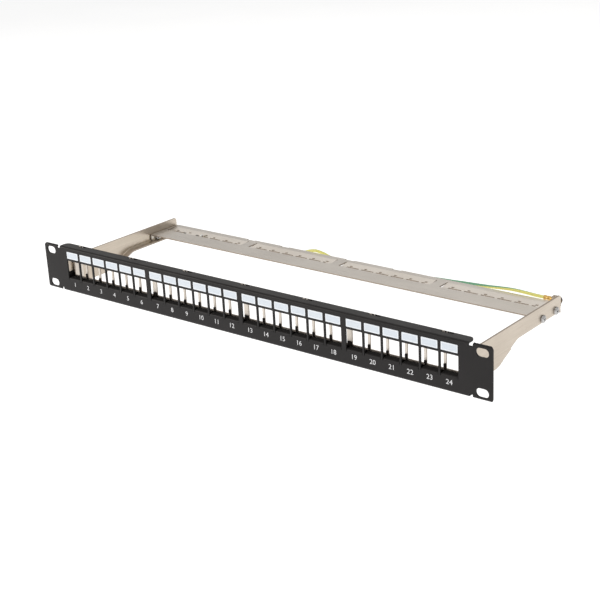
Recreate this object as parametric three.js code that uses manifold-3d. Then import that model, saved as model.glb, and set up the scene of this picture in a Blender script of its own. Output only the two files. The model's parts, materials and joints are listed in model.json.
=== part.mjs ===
// A 19-inch, 1U patch panel for 24 keystone jacks, with a rear cable bar and a ground lead.
// Millimetres. X runs along the panel, Y from the rack plane towards the rear, Z up.
// The origin is the centre of the panel sheet's back face, the plane that meets the rack rails.

import * as THREE from 'three';
import { mergeVertices } from 'three/addons/utils/BufferGeometryUtils.js';
import Module from 'manifold-3d';

const wasm = await Module();
wasm.setup();

// ---------- driving dimensions ----------

const GAP = 0.3;                  // clearance kept between separate pieces

// front panel sheet
const PANEL_WIDTH = 482.6;        // 19 in
const PANEL_HEIGHT = 43.6;        // 1U less its clearance
const PANEL_SHEET = 1.5;
const PANEL_CORNER = 2.5;
const FOLD_DEPTH = 10.4;          // front face to the rear edge of the top and bottom folds
const FOLD_HALF_LENGTH = 220.8;
const FOLD_BEND = 2.2;            // outer bend radius
const FOLD_CORNER = 4.5;          // rounded rear corners of the folds
const NOTCH_OUTER = 224.4;        // relief notch between a fold's end and the ear
const NOTCH_DEPTH = 2.8;

// rack slots, EIA-310
const SLOT_X = 232.55;
const SLOT_Z = 15.875;
const SLOT_LENGTH = 11;
const SLOT_HEIGHT = 7;

// ports: four groups of six
const GROUPS = 4;
const PER_GROUP = 6;
const PORT_PITCH = 17.41;
const GROUP_PITCH = 107.2;
const PORT_WIDTH = 15.7;
const PORT_BOTTOM = -7.8;
const PORT_TOP = 8.8;
const LEDGE_WIDTH = 14.9;         // lip folded back from the bottom of each port
const LEDGE_REAR = 4.1;
const LEDGE_SHEET = 1.2;

// label windows and the strips behind them
const LABEL_WIDTH = 14.9;
const LABEL_BOTTOM = 10.6;
const LABEL_TOP = 17.5;
const STRIP_FRONT = 0.3;
const STRIP_BACK = 1.5;
const STRIP_BOTTOM = 9.9;
const STRIP_TOP = 18.6;
const STRIP_OVERHANG = 9.1;       // beyond the centres of a group's first and last ports
const PAD_INSET = 0.15;           // pad to window edge
const PAD_RECESS = 0.1;           // pad face behind the panel face

// seven slots in the top fold, where prongs of the ground frame clip in
const SLOT_COUNT = 7;
const SLOT_PITCH = 66;
const CLIP_SLOT = [-5.2, 5, 6.1, 8.2]; // left, right, front and rear, from the slot's middle

// ground frame: a plated sheet behind the panel, with a window for each port
const FRAME_SHEET = 1;
const FRAME_FRONT = 6.7;
const FRAME_HALF_LENGTH = 214.3;
const FRAME_HALF_HEIGHT = 19.8;
const FRAME_WINDOW_LEFT = -7.75;  // from the port's centre
const FRAME_WINDOW_RIGHT = 7.36;
const FRAME_WINDOW_BOTTOM = -7.6;
const FRAME_WINDOW_TOP = 9.6;
const FRAME_LIP_FRONT = 2.2;      // front edge of its top and bottom lips
const FRAME_TAB_REAR = 18;
const FRAME_TAB_BOTTOM = -16;
const FRAME_TAB_TOP = 8.6;
const PRONGS = [[-5, -2.7], [-1, -0.1]]; // left and right of each prong in a clip slot
const PRONG_TOP = 22.1;

// latch combs: thin black strips with a tooth between neighbouring ports
const COMB_FRONT = 5.7;
const COMB_BACK = 6.4;
const COMB_BOTTOM = -16;
const COMB_TOP = -8.6;
const TOOTH_LEFT = -9.75;         // from the centre of the port on the tooth's right
const TOOTH_RIGHT = -7.25;
const WIDE_TOOTH_LEFT = -12.1;
const NECK_WIDTH = 1.3;
const NECK_TOP = -7.3;
const TOOTH_TOP_EVEN = -3.6;
const TOOTH_TOP_ODD = -4.9;
const CHEEK_FRONT = 1.2;          // end cheek of the first comb, along the left bracket
const CHEEK_TOP = -3.6;
const CHEEK_SHEET = 0.8;

// side brackets
const BRACKET_OUTER = 216.2;
const BRACKET_SHEET = 1.5;
const BRACKET_REAR = 147;
const BRACKET_TOP = 10.1;
const BRACKET_REAR_BOTTOM = -5.2;
const BRACKET_FRONT_BOTTOM = -18.2;
const BRACKET_CORNER = 2.5;
const KINK_Y = 79;                // where the lower edge starts down to the gusset
const GUSSET_Y = 47;              // where the slope runs out into the gusset's lower edge
const FOOT_WIDTH = 8;             // outward foot against the panel
const FOOT_BOTTOM = -16.5;
const FOOT_TOP = 9.3;
const LIP_WIDTH = 6.3;            // inward lip along the lower edge
const LIP_SHEET = 1.3;
const LIP_FRONT_Y = 68;

// fixings
const STUD_X = 220.4;
const STUD_Z = [4.5, -11.5];
const M3_RADIUS = 1.5;
const M3_CLEARANCE = 1.8;
const NUT_FLATS = 5.5;
const NUT_HEIGHT = 2.4;
const NUT_BORE = 1.65;
const BAR_SCREW_Y = [117, 138.5];
const BAR_SCREW_Z = -0.75;
const HEAD_RADIUS = 3.3;
const HEAD_HEIGHT = 2.1;
const RIVET_Y = 13;
const RIVET_Z = [5.5, -12];
const RIVET_RADIUS = 1.6;
const RIVET_HEAD = 2.6;

// cable bar
const BAR_SHEET = 1.2;
const BAR_TOP = 3.4;
const BAR_FRONT = 108.5;
const BAR_REAR = 146.5;
const BAR_HALF_LENGTH = 214.4;
const BAR_TAB_BOTTOM = -3.6;
const WINDOW_START = -210.2;      // left end of the first tie window
const WINDOW_LENGTH = 97.2;
const WINDOW_FRONT = 128.3;
const WINDOW_REAR = 140.8;
const WINDOW_SLIT = 0.9;
const FLAP_DROP = 1.65;           // the flap's front edge below the bar's top
const TIE_START = -200.1;
const TIE_PITCH = 16.05;
const REAR_TIE_Y = 134;
const REAR_TIE_SIZE = [2.6, 1.8];
const FRONT_TIE_Y = 131.7;
const FRONT_TIE_WIDTH = 1.6;
const FRONT_TIE_LEFT = -3.4;
const FRONT_TIE_RIGHT = 9.6;
const HOOK_X = [56, 4, -72, -114]; // J-shaped hooks on the rear edge that carry the ground lead
const HOOK_WIDTH = 8;
const HOOK_SHEET = 1;
const HOOK_BOTTOM = -4.2;
const HOOK_REAR = 153.2;
const HOOK_LIP_TOP = -1;
const BOND_HOLE = [-163.4, 134.4, 1.9]; // X, Y and radius

// ground lead
const EARTH_X = 212.3;
const EARTH_Z = 3.9;
const EARTH_SHANK = 3.2;          // ends just behind the cable bar
const WASHER_RADIUS = 3.8;
const EAR_LEFT = 207.9;
const EAR_BOTTOM = -0.6;
const EAR_TOP = 8.4;
const EAR_SHEET = 1.3;
const RING_OUTER = 3.4;
const RING_BORE = 1.7;
const RING_SHEET = 0.8;
const WIRE_DIAMETER = 2.8;
const BARREL_RADIUS = 1.9;
const BARREL_LENGTH = 8.6;
const BARREL_Y = 150.2;
const HANK_X = -160;
const HANK_Y = 142.4;
const HANK_RUN = 50;              // straight length of its runs
const HANK_FOLD = 8.4;            // radius of its folds, to the wire's middle
const HANK_LAYERS = 2;
const HANK_TOP = -0.4;
const FAR_RING_X = -114.8;
const TIE_X = -168;               // in the tie slots of the third port
const TIE_WIDTH = 2;
const TIE_SHEET = 0.8;

// ---------- helpers ----------

const toSolid = (geometry) => {
  geometry.deleteAttribute('normal');
  geometry.deleteAttribute('uv');
  const merged = mergeVertices(geometry, 1e-4);
  return new wasm.Manifold(new wasm.Mesh({
    numProp: 3,
    vertProperties: new Float32Array(merged.attributes.position.array),
    triVerts: new Uint32Array(merged.index.array),
  }));
};

const toGeometry = (solid) => {
  const mesh = solid.getMesh();
  const geometry = new THREE.BufferGeometry();
  geometry.setAttribute('position', new THREE.BufferAttribute(mesh.vertProperties, 3));
  geometry.setIndex(new THREE.BufferAttribute(mesh.triVerts, 1));
  geometry.computeVertexNormals();
  return geometry;
};

const box = (x0, x1, y0, y1, z0, z1) => {
  const geometry = new THREE.BoxGeometry(x1 - x0, y1 - y0, z1 - z0);
  geometry.translate((x0 + x1) / 2, (y0 + y1) / 2, (z0 + z1) / 2);
  return toSolid(geometry);
};

// a shape drawn in X and Z, extruded along Y from y0 to y1
const plateXZ = (shape, y0, y1, segments = 5) => {
  const geometry = new THREE.ExtrudeGeometry(shape, { depth: y1 - y0, bevelEnabled: false, curveSegments: segments });
  geometry.rotateX(Math.PI / 2);
  geometry.translate(0, y1, 0);
  return toSolid(geometry);
};

// a shape drawn in Y and Z, extruded along X from x0 to x1
const plateYZ = (shape, x0, x1, segments = 5) => {
  const geometry = new THREE.ExtrudeGeometry(shape, { depth: x1 - x0, bevelEnabled: false, curveSegments: segments });
  geometry.applyMatrix4(new THREE.Matrix4().set(0, 0, 1, x0, 1, 0, 0, 0, 0, 1, 0, 0, 0, 0, 0, 1));
  return toSolid(geometry);
};

// a shape drawn in X and Y, extruded along Z from z0 to z1
const plateXY = (shape, z0, z1, segments = 5) => {
  const geometry = new THREE.ExtrudeGeometry(shape, { depth: z1 - z0, bevelEnabled: false, curveSegments: segments });
  geometry.translate(0, 0, z0);
  return toSolid(geometry);
};

const rounded = (x0, x1, y0, y1, radius) => {
  const shape = new THREE.Shape();
  shape.moveTo(x0 + radius, y0);
  shape.lineTo(x1 - radius, y0);
  shape.absarc(x1 - radius, y0 + radius, radius, -Math.PI / 2, 0);
  shape.lineTo(x1, y1 - radius);
  shape.absarc(x1 - radius, y1 - radius, radius, 0, Math.PI / 2);
  shape.lineTo(x0 + radius, y1);
  shape.absarc(x0 + radius, y1 - radius, radius, Math.PI / 2, Math.PI);
  shape.lineTo(x0, y0 + radius);
  shape.absarc(x0 + radius, y0 + radius, radius, Math.PI, Math.PI * 1.5);
  return shape;
};

const polygon = (points) => new THREE.Shape(points.map(([a, b]) => new THREE.Vector2(a, b)));

// a lathe profile of [radius, height] pairs, its axis turned to run along the given direction
const turned = (profile, position, direction, sides = 16) => {
  const points = profile.map(([radius, height]) => new THREE.Vector2(radius, height));
  const geometry = new THREE.LatheGeometry(points, sides);
  geometry.rotateY(Math.PI / sides);
  const turn = new THREE.Quaternion().setFromUnitVectors(new THREE.Vector3(0, 1, 0), new THREE.Vector3(...direction));
  geometry.applyQuaternion(turn);
  geometry.translate(...position);
  return toSolid(geometry);
};

const rod = (radius, position, direction, length, sides = 16) =>
  turned([[0, 0], [radius, 0], [radius, length], [0, length]], position, direction, sides);

const join = (solids) => solids.reduce((sum, solid) => sum.add(solid));
const cut = (solid, tools) => tools.reduce((rest, tool) => rest.subtract(tool), solid);

const portCentre = (group, index) =>
  (group - (GROUPS - 1) / 2) * GROUP_PITCH + (index - (PER_GROUP - 1) / 2) * PORT_PITCH;

const ports = [];
for (let group = 0; group < GROUPS; group += 1) {
  for (let index = 0; index < PER_GROUP; index += 1) {
    ports.push({ group, index, x: portCentre(group, index) });
  }
}

const clipSlots = Array.from({ length: SLOT_COUNT }, (_, i) => (i - (SLOT_COUNT - 1) / 2) * SLOT_PITCH);

// ---------- materials ----------

const finish = (color, roughness, metalness) => new THREE.MeshStandardMaterial({ color, roughness, metalness });
const blackPaint = finish(0x2b2a2b, 0.5, 0.1);
const blackSteel = finish(0x161514, 0.5, 0.3);
const labelWhite = finish(0xe4ecf5, 0.4, 0);
const nickel = finish(0xc3bab0, 0.35, 0.9);
const zinc = finish(0xc9c9cb, 0.3, 0.9);
const darkZinc = finish(0x4a4442, 0.4, 0.8);
const brass = finish(0xd9a441, 0.35, 0.9);
const wireYellow = finish(0xd9d63c, 0.45, 0);
const nylon = finish(0xe6e4de, 0.5, 0);

const assembly = new THREE.Group();
const addPart = (name, solid, material) => {
  const mesh = new THREE.Mesh(toGeometry(solid), material.clone());
  mesh.name = name;
  assembly.add(mesh);
};

// ---------- front panel ----------

const halfHeight = PANEL_HEIGHT / 2;
const frontFace = -PANEL_SHEET;
const foldRear = frontFace + FOLD_DEPTH;

// one fold, drawn for the top; side is 1 for the top and -1 for the bottom
const fold = (side) => {
  const bendFoot = halfHeight - FOLD_BEND;
  const flangeFront = frontFace + FOLD_BEND;
  const outline = new THREE.Shape();
  outline.moveTo(frontFace, bendFoot - 0.5);
  outline.lineTo(frontFace, bendFoot);
  outline.absarc(flangeFront, bendFoot, FOLD_BEND, Math.PI, Math.PI / 2, true);
  outline.lineTo(flangeFront + 0.5, halfHeight);
  outline.lineTo(flangeFront + 0.5, halfHeight - PANEL_SHEET);
  outline.absarc(flangeFront, bendFoot, FOLD_BEND - PANEL_SHEET, Math.PI / 2, Math.PI, false);
  outline.lineTo(0, bendFoot - 0.5);
  const bend = plateYZ(outline, -FOLD_HALF_LENGTH, FOLD_HALF_LENGTH, 5);
  const sheet = new THREE.Shape();
  sheet.moveTo(-FOLD_HALF_LENGTH, flangeFront);
  sheet.lineTo(FOLD_HALF_LENGTH, flangeFront);
  sheet.lineTo(FOLD_HALF_LENGTH, foldRear - FOLD_CORNER);
  sheet.absarc(FOLD_HALF_LENGTH - FOLD_CORNER, foldRear - FOLD_CORNER, FOLD_CORNER, 0, Math.PI / 2);
  sheet.lineTo(-FOLD_HALF_LENGTH + FOLD_CORNER, foldRear);
  sheet.absarc(-FOLD_HALF_LENGTH + FOLD_CORNER, foldRear - FOLD_CORNER, FOLD_CORNER, Math.PI / 2, Math.PI);
  const flange = plateXY(sheet, halfHeight - PANEL_SHEET, halfHeight);
  const whole = bend.add(flange);
  return side > 0 ? whole : whole.mirror([0, 0, 1]);
};

const panelOutline = () => {
  const shape = rounded(-PANEL_WIDTH / 2, PANEL_WIDTH / 2, -halfHeight, halfHeight, PANEL_CORNER);
  const solid = plateXZ(shape, frontFace, 0);
  const bendFoot = halfHeight - FOLD_BEND;
  const trims = [-1, 1].flatMap((side) => {
    const [low, high] = side > 0 ? [bendFoot, halfHeight + 1] : [-halfHeight - 1, -bendFoot];
    const [notchLow, notchHigh] = side > 0
      ? [halfHeight - NOTCH_DEPTH, halfHeight + 1] : [-halfHeight - 1, -halfHeight + NOTCH_DEPTH];
    return [
      box(-NOTCH_OUTER, NOTCH_OUTER, frontFace - 1, 1, low, high),
      box(FOLD_HALF_LENGTH, NOTCH_OUTER, frontFace - 1, 1, notchLow, notchHigh),
      box(-NOTCH_OUTER, -FOLD_HALF_LENGTH, frontFace - 1, 1, notchLow, notchHigh),
    ];
  });
  return cut(solid, trims);
};

const rackSlots = [-1, 1].flatMap((sideX) => [-1, 1].map((sideZ) => {
  const shape = rounded(
    sideX * SLOT_X - SLOT_LENGTH / 2, sideX * SLOT_X + SLOT_LENGTH / 2,
    sideZ * SLOT_Z - SLOT_HEIGHT / 2, sideZ * SLOT_Z + SLOT_HEIGHT / 2, SLOT_HEIGHT / 2 - 0.01);
  return plateXZ(shape, frontFace - 1, 1, 6);
}));

const portHoles = ports.map(({ x }) =>
  box(x - PORT_WIDTH / 2, x + PORT_WIDTH / 2, frontFace - 1, 1, PORT_BOTTOM, PORT_TOP));
const labelHoles = ports.map(({ x }) =>
  box(x - LABEL_WIDTH / 2, x + LABEL_WIDTH / 2, frontFace - 1, 1, LABEL_BOTTOM, LABEL_TOP));
const ledges = ports.map(({ x }) =>
  box(x - LEDGE_WIDTH / 2, x + LEDGE_WIDTH / 2, frontFace + 0.5, LEDGE_REAR, PORT_BOTTOM - LEDGE_SHEET, PORT_BOTTOM));

const clipSlotHole = (x) => {
  const [left, right, front, rear] = CLIP_SLOT;
  return box(x + left, x + right, front, rear, halfHeight - PANEL_SHEET - 1, halfHeight + 1);
};

const panelBlank = join([panelOutline(), fold(1), fold(-1)]);
const panelOpen = cut(panelBlank, [...rackSlots, ...portHoles, ...labelHoles]);
const frontPanel = cut(join([panelOpen, ...ledges]), clipSlots.map(clipSlotHole));
addPart('front_panel', frontPanel, blackPaint);

// ---------- label strips ----------

for (let group = 0; group < GROUPS; group += 1) {
  const first = portCentre(group, 0);
  const last = portCentre(group, PER_GROUP - 1);
  const strip = box(first - STRIP_OVERHANG, last + STRIP_OVERHANG, STRIP_FRONT, STRIP_BACK, STRIP_BOTTOM, STRIP_TOP);
  const pads = ports.filter((port) => port.group === group).map(({ x }) => box(
    x - LABEL_WIDTH / 2 + PAD_INSET, x + LABEL_WIDTH / 2 - PAD_INSET,
    frontFace + PAD_RECESS, STRIP_FRONT + 0.3,
    LABEL_BOTTOM + PAD_INSET, LABEL_TOP - PAD_INSET));
  addPart(`label_strip_${group + 1}`, join([strip, ...pads]), labelWhite);
}

// ---------- ground frame ----------

const frameBack = FRAME_FRONT + FRAME_SHEET;
const frameSheet = box(-FRAME_HALF_LENGTH, FRAME_HALF_LENGTH, FRAME_FRONT, frameBack, -FRAME_HALF_HEIGHT, FRAME_HALF_HEIGHT);
const frameLips = [-1, 1].map((side) => {
  const edge = side * FRAME_HALF_HEIGHT;
  const inner = side * (FRAME_HALF_HEIGHT - FRAME_SHEET);
  return box(-FRAME_HALF_LENGTH, FRAME_HALF_LENGTH, FRAME_LIP_FRONT, frameBack, Math.min(edge, inner), Math.max(edge, inner));
});
const frameTabs = [-1, 1].map((side) => {
  const outer = side * FRAME_HALF_LENGTH;
  const inner = side * (FRAME_HALF_LENGTH - FRAME_SHEET);
  return box(Math.min(outer, inner), Math.max(outer, inner), FRAME_FRONT, FRAME_TAB_REAR, FRAME_TAB_BOTTOM, FRAME_TAB_TOP);
});
const frameProngs = clipSlots.flatMap((x) => PRONGS.map(([left, right]) =>
  box(x + left, x + right, FRAME_FRONT, frameBack, FRAME_HALF_HEIGHT - 0.5, PRONG_TOP)));
const frameWindows = ports.map(({ x }) => box(
  x + FRAME_WINDOW_LEFT, x + FRAME_WINDOW_RIGHT, FRAME_FRONT - 1, frameBack + 1,
  FRAME_WINDOW_BOTTOM, FRAME_WINDOW_TOP));
const rivetHoles = [-1, 1].flatMap((side) => RIVET_Z.map((z) =>
  rod(RIVET_RADIUS + 0.2, [side * 205, RIVET_Y, z], [side, 0, 0], 20, 12)));
const groundFrame = cut(
  join([cut(frameSheet, frameWindows), ...frameLips, ...frameTabs, ...frameProngs]), rivetHoles);
addPart('ground_frame', groundFrame, nickel);

// ---------- latch combs ----------

const tooth = (port, number) => {
  const wide = port.index === 0;
  const top = number % 2 === 0 ? TOOTH_TOP_EVEN : TOOTH_TOP_ODD;
  const right = port.x + TOOTH_RIGHT;
  if (wide) {
    const left = Math.max(port.x + WIDE_TOOTH_LEFT, -FRAME_HALF_LENGTH);
    return box(left, right, COMB_FRONT, COMB_BACK, COMB_TOP - 1, TOOTH_TOP_ODD);
  }
  const left = port.x + TOOTH_LEFT;
  const middle = (left + right) / 2;
  const head = box(left, right, COMB_FRONT, COMB_BACK, NECK_TOP, top);
  const neck = box(middle - NECK_WIDTH / 2, middle + NECK_WIDTH / 2, COMB_FRONT, COMB_BACK, COMB_TOP - 1, NECK_TOP + 0.5);
  return head.add(neck);
};
for (let group = 0; group < GROUPS; group += 1) {
  const first = portCentre(group, 0);
  const last = portCentre(group, PER_GROUP - 1);
  const left = Math.max(first + WIDE_TOOTH_LEFT, -FRAME_HALF_LENGTH);
  const strip = box(left, last + 7.25, COMB_FRONT, COMB_BACK, COMB_BOTTOM, COMB_TOP);
  const teeth = ports.map((port, i) => [port, i + 1]).filter(([port]) => port.group === group)
    .map(([port, number]) => tooth(port, number));
  const cheek = group === 0
    ? [box(left, left + CHEEK_SHEET, CHEEK_FRONT, COMB_BACK, COMB_BOTTOM, CHEEK_TOP)] : [];
  addPart(`latch_comb_${group + 1}`, join([strip, ...teeth, ...cheek]), blackSteel);
}

// ---------- side brackets ----------

const bracketInner = BRACKET_OUTER - BRACKET_SHEET;
const footFront = GAP;
const bracketOutline = () => {
  const shape = new THREE.Shape();
  shape.moveTo(footFront, BRACKET_FRONT_BOTTOM);
  shape.lineTo(GUSSET_Y - 3, BRACKET_FRONT_BOTTOM);
  shape.quadraticCurveTo(GUSSET_Y + 4, BRACKET_FRONT_BOTTOM, GUSSET_Y + 10, BRACKET_FRONT_BOTTOM + 4);
  shape.lineTo(KINK_Y - 2.5, BRACKET_REAR_BOTTOM - 1);
  shape.quadraticCurveTo(KINK_Y, BRACKET_REAR_BOTTOM, KINK_Y + 3, BRACKET_REAR_BOTTOM);
  shape.lineTo(BRACKET_REAR, BRACKET_REAR_BOTTOM);
  shape.lineTo(BRACKET_REAR, BRACKET_TOP - BRACKET_CORNER);
  shape.absarc(BRACKET_REAR - BRACKET_CORNER, BRACKET_TOP - BRACKET_CORNER, BRACKET_CORNER, 0, Math.PI / 2);
  shape.lineTo(footFront, BRACKET_TOP);
  return shape;
};
const lipOutline = () => {
  const slope = (GUSSET_Y + 10 - (KINK_Y - 2.5)) / (BRACKET_FRONT_BOTTOM + 4 - (BRACKET_REAR_BOTTOM - 1));
  const frontZ = BRACKET_REAR_BOTTOM - 1 + (LIP_FRONT_Y - (KINK_Y - 2.5)) / slope;
  const shape = new THREE.Shape();
  shape.moveTo(LIP_FRONT_Y, frontZ);
  shape.lineTo(KINK_Y - 2.5, BRACKET_REAR_BOTTOM - 1);
  shape.quadraticCurveTo(KINK_Y, BRACKET_REAR_BOTTOM, KINK_Y + 3, BRACKET_REAR_BOTTOM);
  shape.lineTo(BRACKET_REAR - 1, BRACKET_REAR_BOTTOM);
  shape.lineTo(BRACKET_REAR - 1, BRACKET_REAR_BOTTOM + LIP_SHEET);
  shape.lineTo(KINK_Y + 3, BRACKET_REAR_BOTTOM + LIP_SHEET);
  shape.quadraticCurveTo(KINK_Y - 0.5, BRACKET_REAR_BOTTOM + LIP_SHEET, KINK_Y - 3, BRACKET_REAR_BOTTOM - 1 + LIP_SHEET);
  shape.lineTo(LIP_FRONT_Y - 0.5, frontZ + LIP_SHEET);
  return shape;
};

// drawn for the right side
const bracketSolid = (withEar) => {
  const plate = plateYZ(bracketOutline(), bracketInner, BRACKET_OUTER);
  const lip = plateYZ(lipOutline(), bracketInner - LIP_WIDTH, bracketInner + 0.5);
  const foot = box(BRACKET_OUTER - 0.5, BRACKET_OUTER + FOOT_WIDTH, footFront, footFront + BRACKET_SHEET, FOOT_BOTTOM, FOOT_TOP);
  const holes = [
    ...BAR_SCREW_Y.map((y) => rod(M3_CLEARANCE, [200, y, BAR_SCREW_Z], [1, 0, 0], 30, 12)),
    ...STUD_Z.map((z) => rod(M3_CLEARANCE, [STUD_X, -1, z], [0, 1, 0], 6, 12)),
    ...RIVET_Z.map((z) => rod(RIVET_RADIUS + 0.2, [205, RIVET_Y, z], [1, 0, 0], 20, 12)),
  ];
  const ear = withEar
    ? [box(EAR_LEFT, BRACKET_OUTER, BRACKET_REAR - 0.3, BRACKET_REAR + EAR_SHEET, EAR_BOTTOM, EAR_TOP)] : [];
  const earHole = withEar
    ? [rod(RING_BORE, [EARTH_X, BRACKET_REAR - 2, EARTH_Z], [0, 1, 0], 6, 12)] : [];
  return cut(join([plate, lip, foot, ...ear]), [...holes, ...earHole]);
};
addPart('bracket_left', bracketSolid(false).mirror([1, 0, 0]), nickel);
addPart('bracket_right', bracketSolid(true), nickel);

// ---------- cable bar ----------

const flapRoot = WINDOW_REAR + 0.6; // sunk into the plate
const flapProfile = polygon([
  [flapRoot, BAR_TOP - 0.2], [WINDOW_FRONT + WINDOW_SLIT, BAR_TOP - FLAP_DROP],
  [WINDOW_FRONT + WINDOW_SLIT, BAR_TOP - FLAP_DROP - BAR_SHEET], [flapRoot, BAR_TOP - BAR_SHEET + 0.2],
]);
const barUnder = BAR_TOP - BAR_SHEET;
const tabInner = BAR_HALF_LENGTH - BAR_SHEET;
const barSection = polygon([
  [-BAR_HALF_LENGTH, BAR_TAB_BOTTOM], [-tabInner, BAR_TAB_BOTTOM], [-tabInner, barUnder], [tabInner, barUnder],
  [tabInner, BAR_TAB_BOTTOM], [BAR_HALF_LENGTH, BAR_TAB_BOTTOM], [BAR_HALF_LENGTH, BAR_TOP], [-BAR_HALF_LENGTH, BAR_TOP],
]);
const barBlank = plateXZ(barSection, BAR_FRONT, BAR_REAR);
const windowHoles = [];
const flaps = [];
const tieSlots = [];
for (let group = 0; group < GROUPS; group += 1) {
  const left = WINDOW_START + group * GROUP_PITCH;
  const right = left + WINDOW_LENGTH;
  windowHoles.push(box(left, right, WINDOW_FRONT, WINDOW_REAR, -5, 8));
  flaps.push(plateYZ(flapProfile, left + WINDOW_SLIT, right - WINDOW_SLIT));
  for (let index = 0; index < PER_GROUP; index += 1) {
    const x = TIE_START + group * GROUP_PITCH + index * TIE_PITCH;
    const [length, width] = REAR_TIE_SIZE;
    const last = index === PER_GROUP - 1;
    const right = last ? FRONT_TIE_LEFT + length + 0.6 : FRONT_TIE_RIGHT;
    tieSlots.push(box(x - length / 2, x + length / 2, REAR_TIE_Y - width / 2, REAR_TIE_Y + width / 2, -5, 8));
    tieSlots.push(box(x + FRONT_TIE_LEFT, x + right,
      FRONT_TIE_Y - FRONT_TIE_WIDTH / 2, FRONT_TIE_Y + FRONT_TIE_WIDTH / 2, -5, 8));
  }
}
const hooks = HOOK_X.flatMap((x) => {
  const left = x - HOOK_WIDTH / 2;
  const right = x + HOOK_WIDTH / 2;
  const riserRear = BAR_REAR - 0.2;
  const profile = polygon([
    [riserRear - HOOK_SHEET, BAR_TOP - 0.3], [riserRear - HOOK_SHEET, HOOK_BOTTOM], [HOOK_REAR, HOOK_BOTTOM],
    [HOOK_REAR, HOOK_LIP_TOP], [HOOK_REAR - HOOK_SHEET, HOOK_LIP_TOP], [HOOK_REAR - HOOK_SHEET, HOOK_BOTTOM + HOOK_SHEET],
    [riserRear, HOOK_BOTTOM + HOOK_SHEET], [riserRear, BAR_TOP - 0.3],
  ]);
  return [plateYZ(profile, left, right)];
});
const [bondX, bondY, bondRadius] = BOND_HOLE;
const barHoles = [
  ...[-1, 1].flatMap((side) => BAR_SCREW_Y.map((y) =>
    rod(M3_CLEARANCE, [side * 205, y, BAR_SCREW_Z], [side, 0, 0], 20, 12))),
  rod(bondRadius, [bondX, bondY, -5], [0, 0, 1], 12, 12),
];
const cableBar = cut(join([cut(barBlank, windowHoles), ...flaps, ...hooks]), [...tieSlots, ...barHoles]);
addPart('cable_bar', cableBar, nickel);

// ---------- screws, nuts, studs and rivets ----------

const hexNut = (position, direction) => {
  const radius = NUT_FLATS / 2 / Math.cos(Math.PI / 6);
  const body = rod(radius, position, direction, NUT_HEIGHT, 6);
  const start = position.map((value, i) => value - direction[i]);
  return body.subtract(rod(NUT_BORE, start, direction, NUT_HEIGHT + 2, 12));
};
const panHead = (shankLength) => [
  [0, -shankLength], [M3_RADIUS, -shankLength], [M3_RADIUS, 0], [HEAD_RADIUS, 0],
  [HEAD_RADIUS, HEAD_HEIGHT * 0.45], [HEAD_RADIUS * 0.8, HEAD_HEIGHT * 0.85], [HEAD_RADIUS * 0.45, HEAD_HEIGHT], [0, HEAD_HEIGHT],
];
for (const side of [-1, 1]) {
  const label = side < 0 ? 'left' : 'right';
  BAR_SCREW_Y.forEach((y, i) => {
    const place = i === 0 ? 'front' : 'rear';
    const seat = side * (BRACKET_OUTER + 0.05);
    addPart(`bar_screw_${label}_${place}`, turned(panHead(7.6), [seat, y, BAR_SCREW_Z], [side, 0, 0]), zinc);
    const nutSeat = side * (BAR_HALF_LENGTH - BAR_SHEET - 0.1);
    addPart(`bar_nut_${label}_${place}`, hexNut([nutSeat, y, BAR_SCREW_Z], [-side, 0, 0]), zinc);
  });
  STUD_Z.forEach((z, i) => {
    const place = i === 0 ? 'upper' : 'lower';
    addPart(`panel_stud_${label}_${place}`, rod(M3_RADIUS, [side * STUD_X, 0, z], [0, 1, 0], 6.5, 12), zinc);
    addPart(`stud_nut_${label}_${place}`, hexNut([side * STUD_X, footFront + BRACKET_SHEET + 0.1, z], [0, 1, 0]), zinc);
  });
  RIVET_Z.forEach((z, i) => {
    const place = i === 0 ? 'upper' : 'lower';
    const tail = FRAME_HALF_LENGTH - FRAME_SHEET;
    const grip = BRACKET_OUTER + 0.1 - tail;
    const profile = [
      [0, -grip - 1.2], [RIVET_HEAD * 0.7, -grip - 1.2], [RIVET_HEAD * 0.8, -grip - 0.1], [RIVET_RADIUS, -grip - 0.1],
      [RIVET_RADIUS, 0], [RIVET_HEAD, 0], [RIVET_HEAD * 0.7, 0.8], [0, 1.1],
    ];
    addPart(`frame_rivet_${label}_${place}`, turned(profile, [side * (BRACKET_OUTER + 0.1), RIVET_Y, z], [side, 0, 0], 12), zinc);
  });
}

// ---------- ground lead ----------

const ringY = BRACKET_REAR + EAR_SHEET + 0.1;
const ringTerminal = (ringX, ringZ, ringFront, barrelY, side) => {
  // the ring faces Y; the barrel runs away from it along X, towards side
  const ring = rod(RING_OUTER, [ringX, ringFront, ringZ], [0, 1, 0], RING_SHEET, 20);
  const neckEnd = ringX + side * (RING_OUTER + 2.4);
  const neck = box(Math.min(ringX, neckEnd), Math.max(ringX, neckEnd), ringFront, ringFront + RING_SHEET, ringZ - 1.5, ringZ + 1.5);
  const barrelStart = ringX + side * (RING_OUTER + 0.8);
  const barrel = rod(BARREL_RADIUS, [barrelStart, barrelY, ringZ], [side, 0, 0], BARREL_LENGTH, 14);
  const bore = rod(RING_BORE, [ringX, ringFront - 1, ringZ], [0, 1, 0], RING_SHEET + 2, 14);
  return join([ring, neck, barrel]).subtract(bore);
};
addPart('ring_terminal_near', ringTerminal(EARTH_X, EARTH_Z, ringY, BARREL_Y, -1), brass);
const washerY = ringY + RING_SHEET + 0.1;
const washer = rod(WASHER_RADIUS, [EARTH_X, washerY, EARTH_Z], [0, 1, 0], 0.7, 16)
  .subtract(rod(1.6, [EARTH_X, washerY - 1, EARTH_Z], [0, 1, 0], 3, 12));
addPart('earth_washer', washer, darkZinc);
addPart('earth_screw', turned(panHead(EARTH_SHANK), [EARTH_X, washerY + 0.8, EARTH_Z], [0, 1, 0]), darkZinc);

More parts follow.
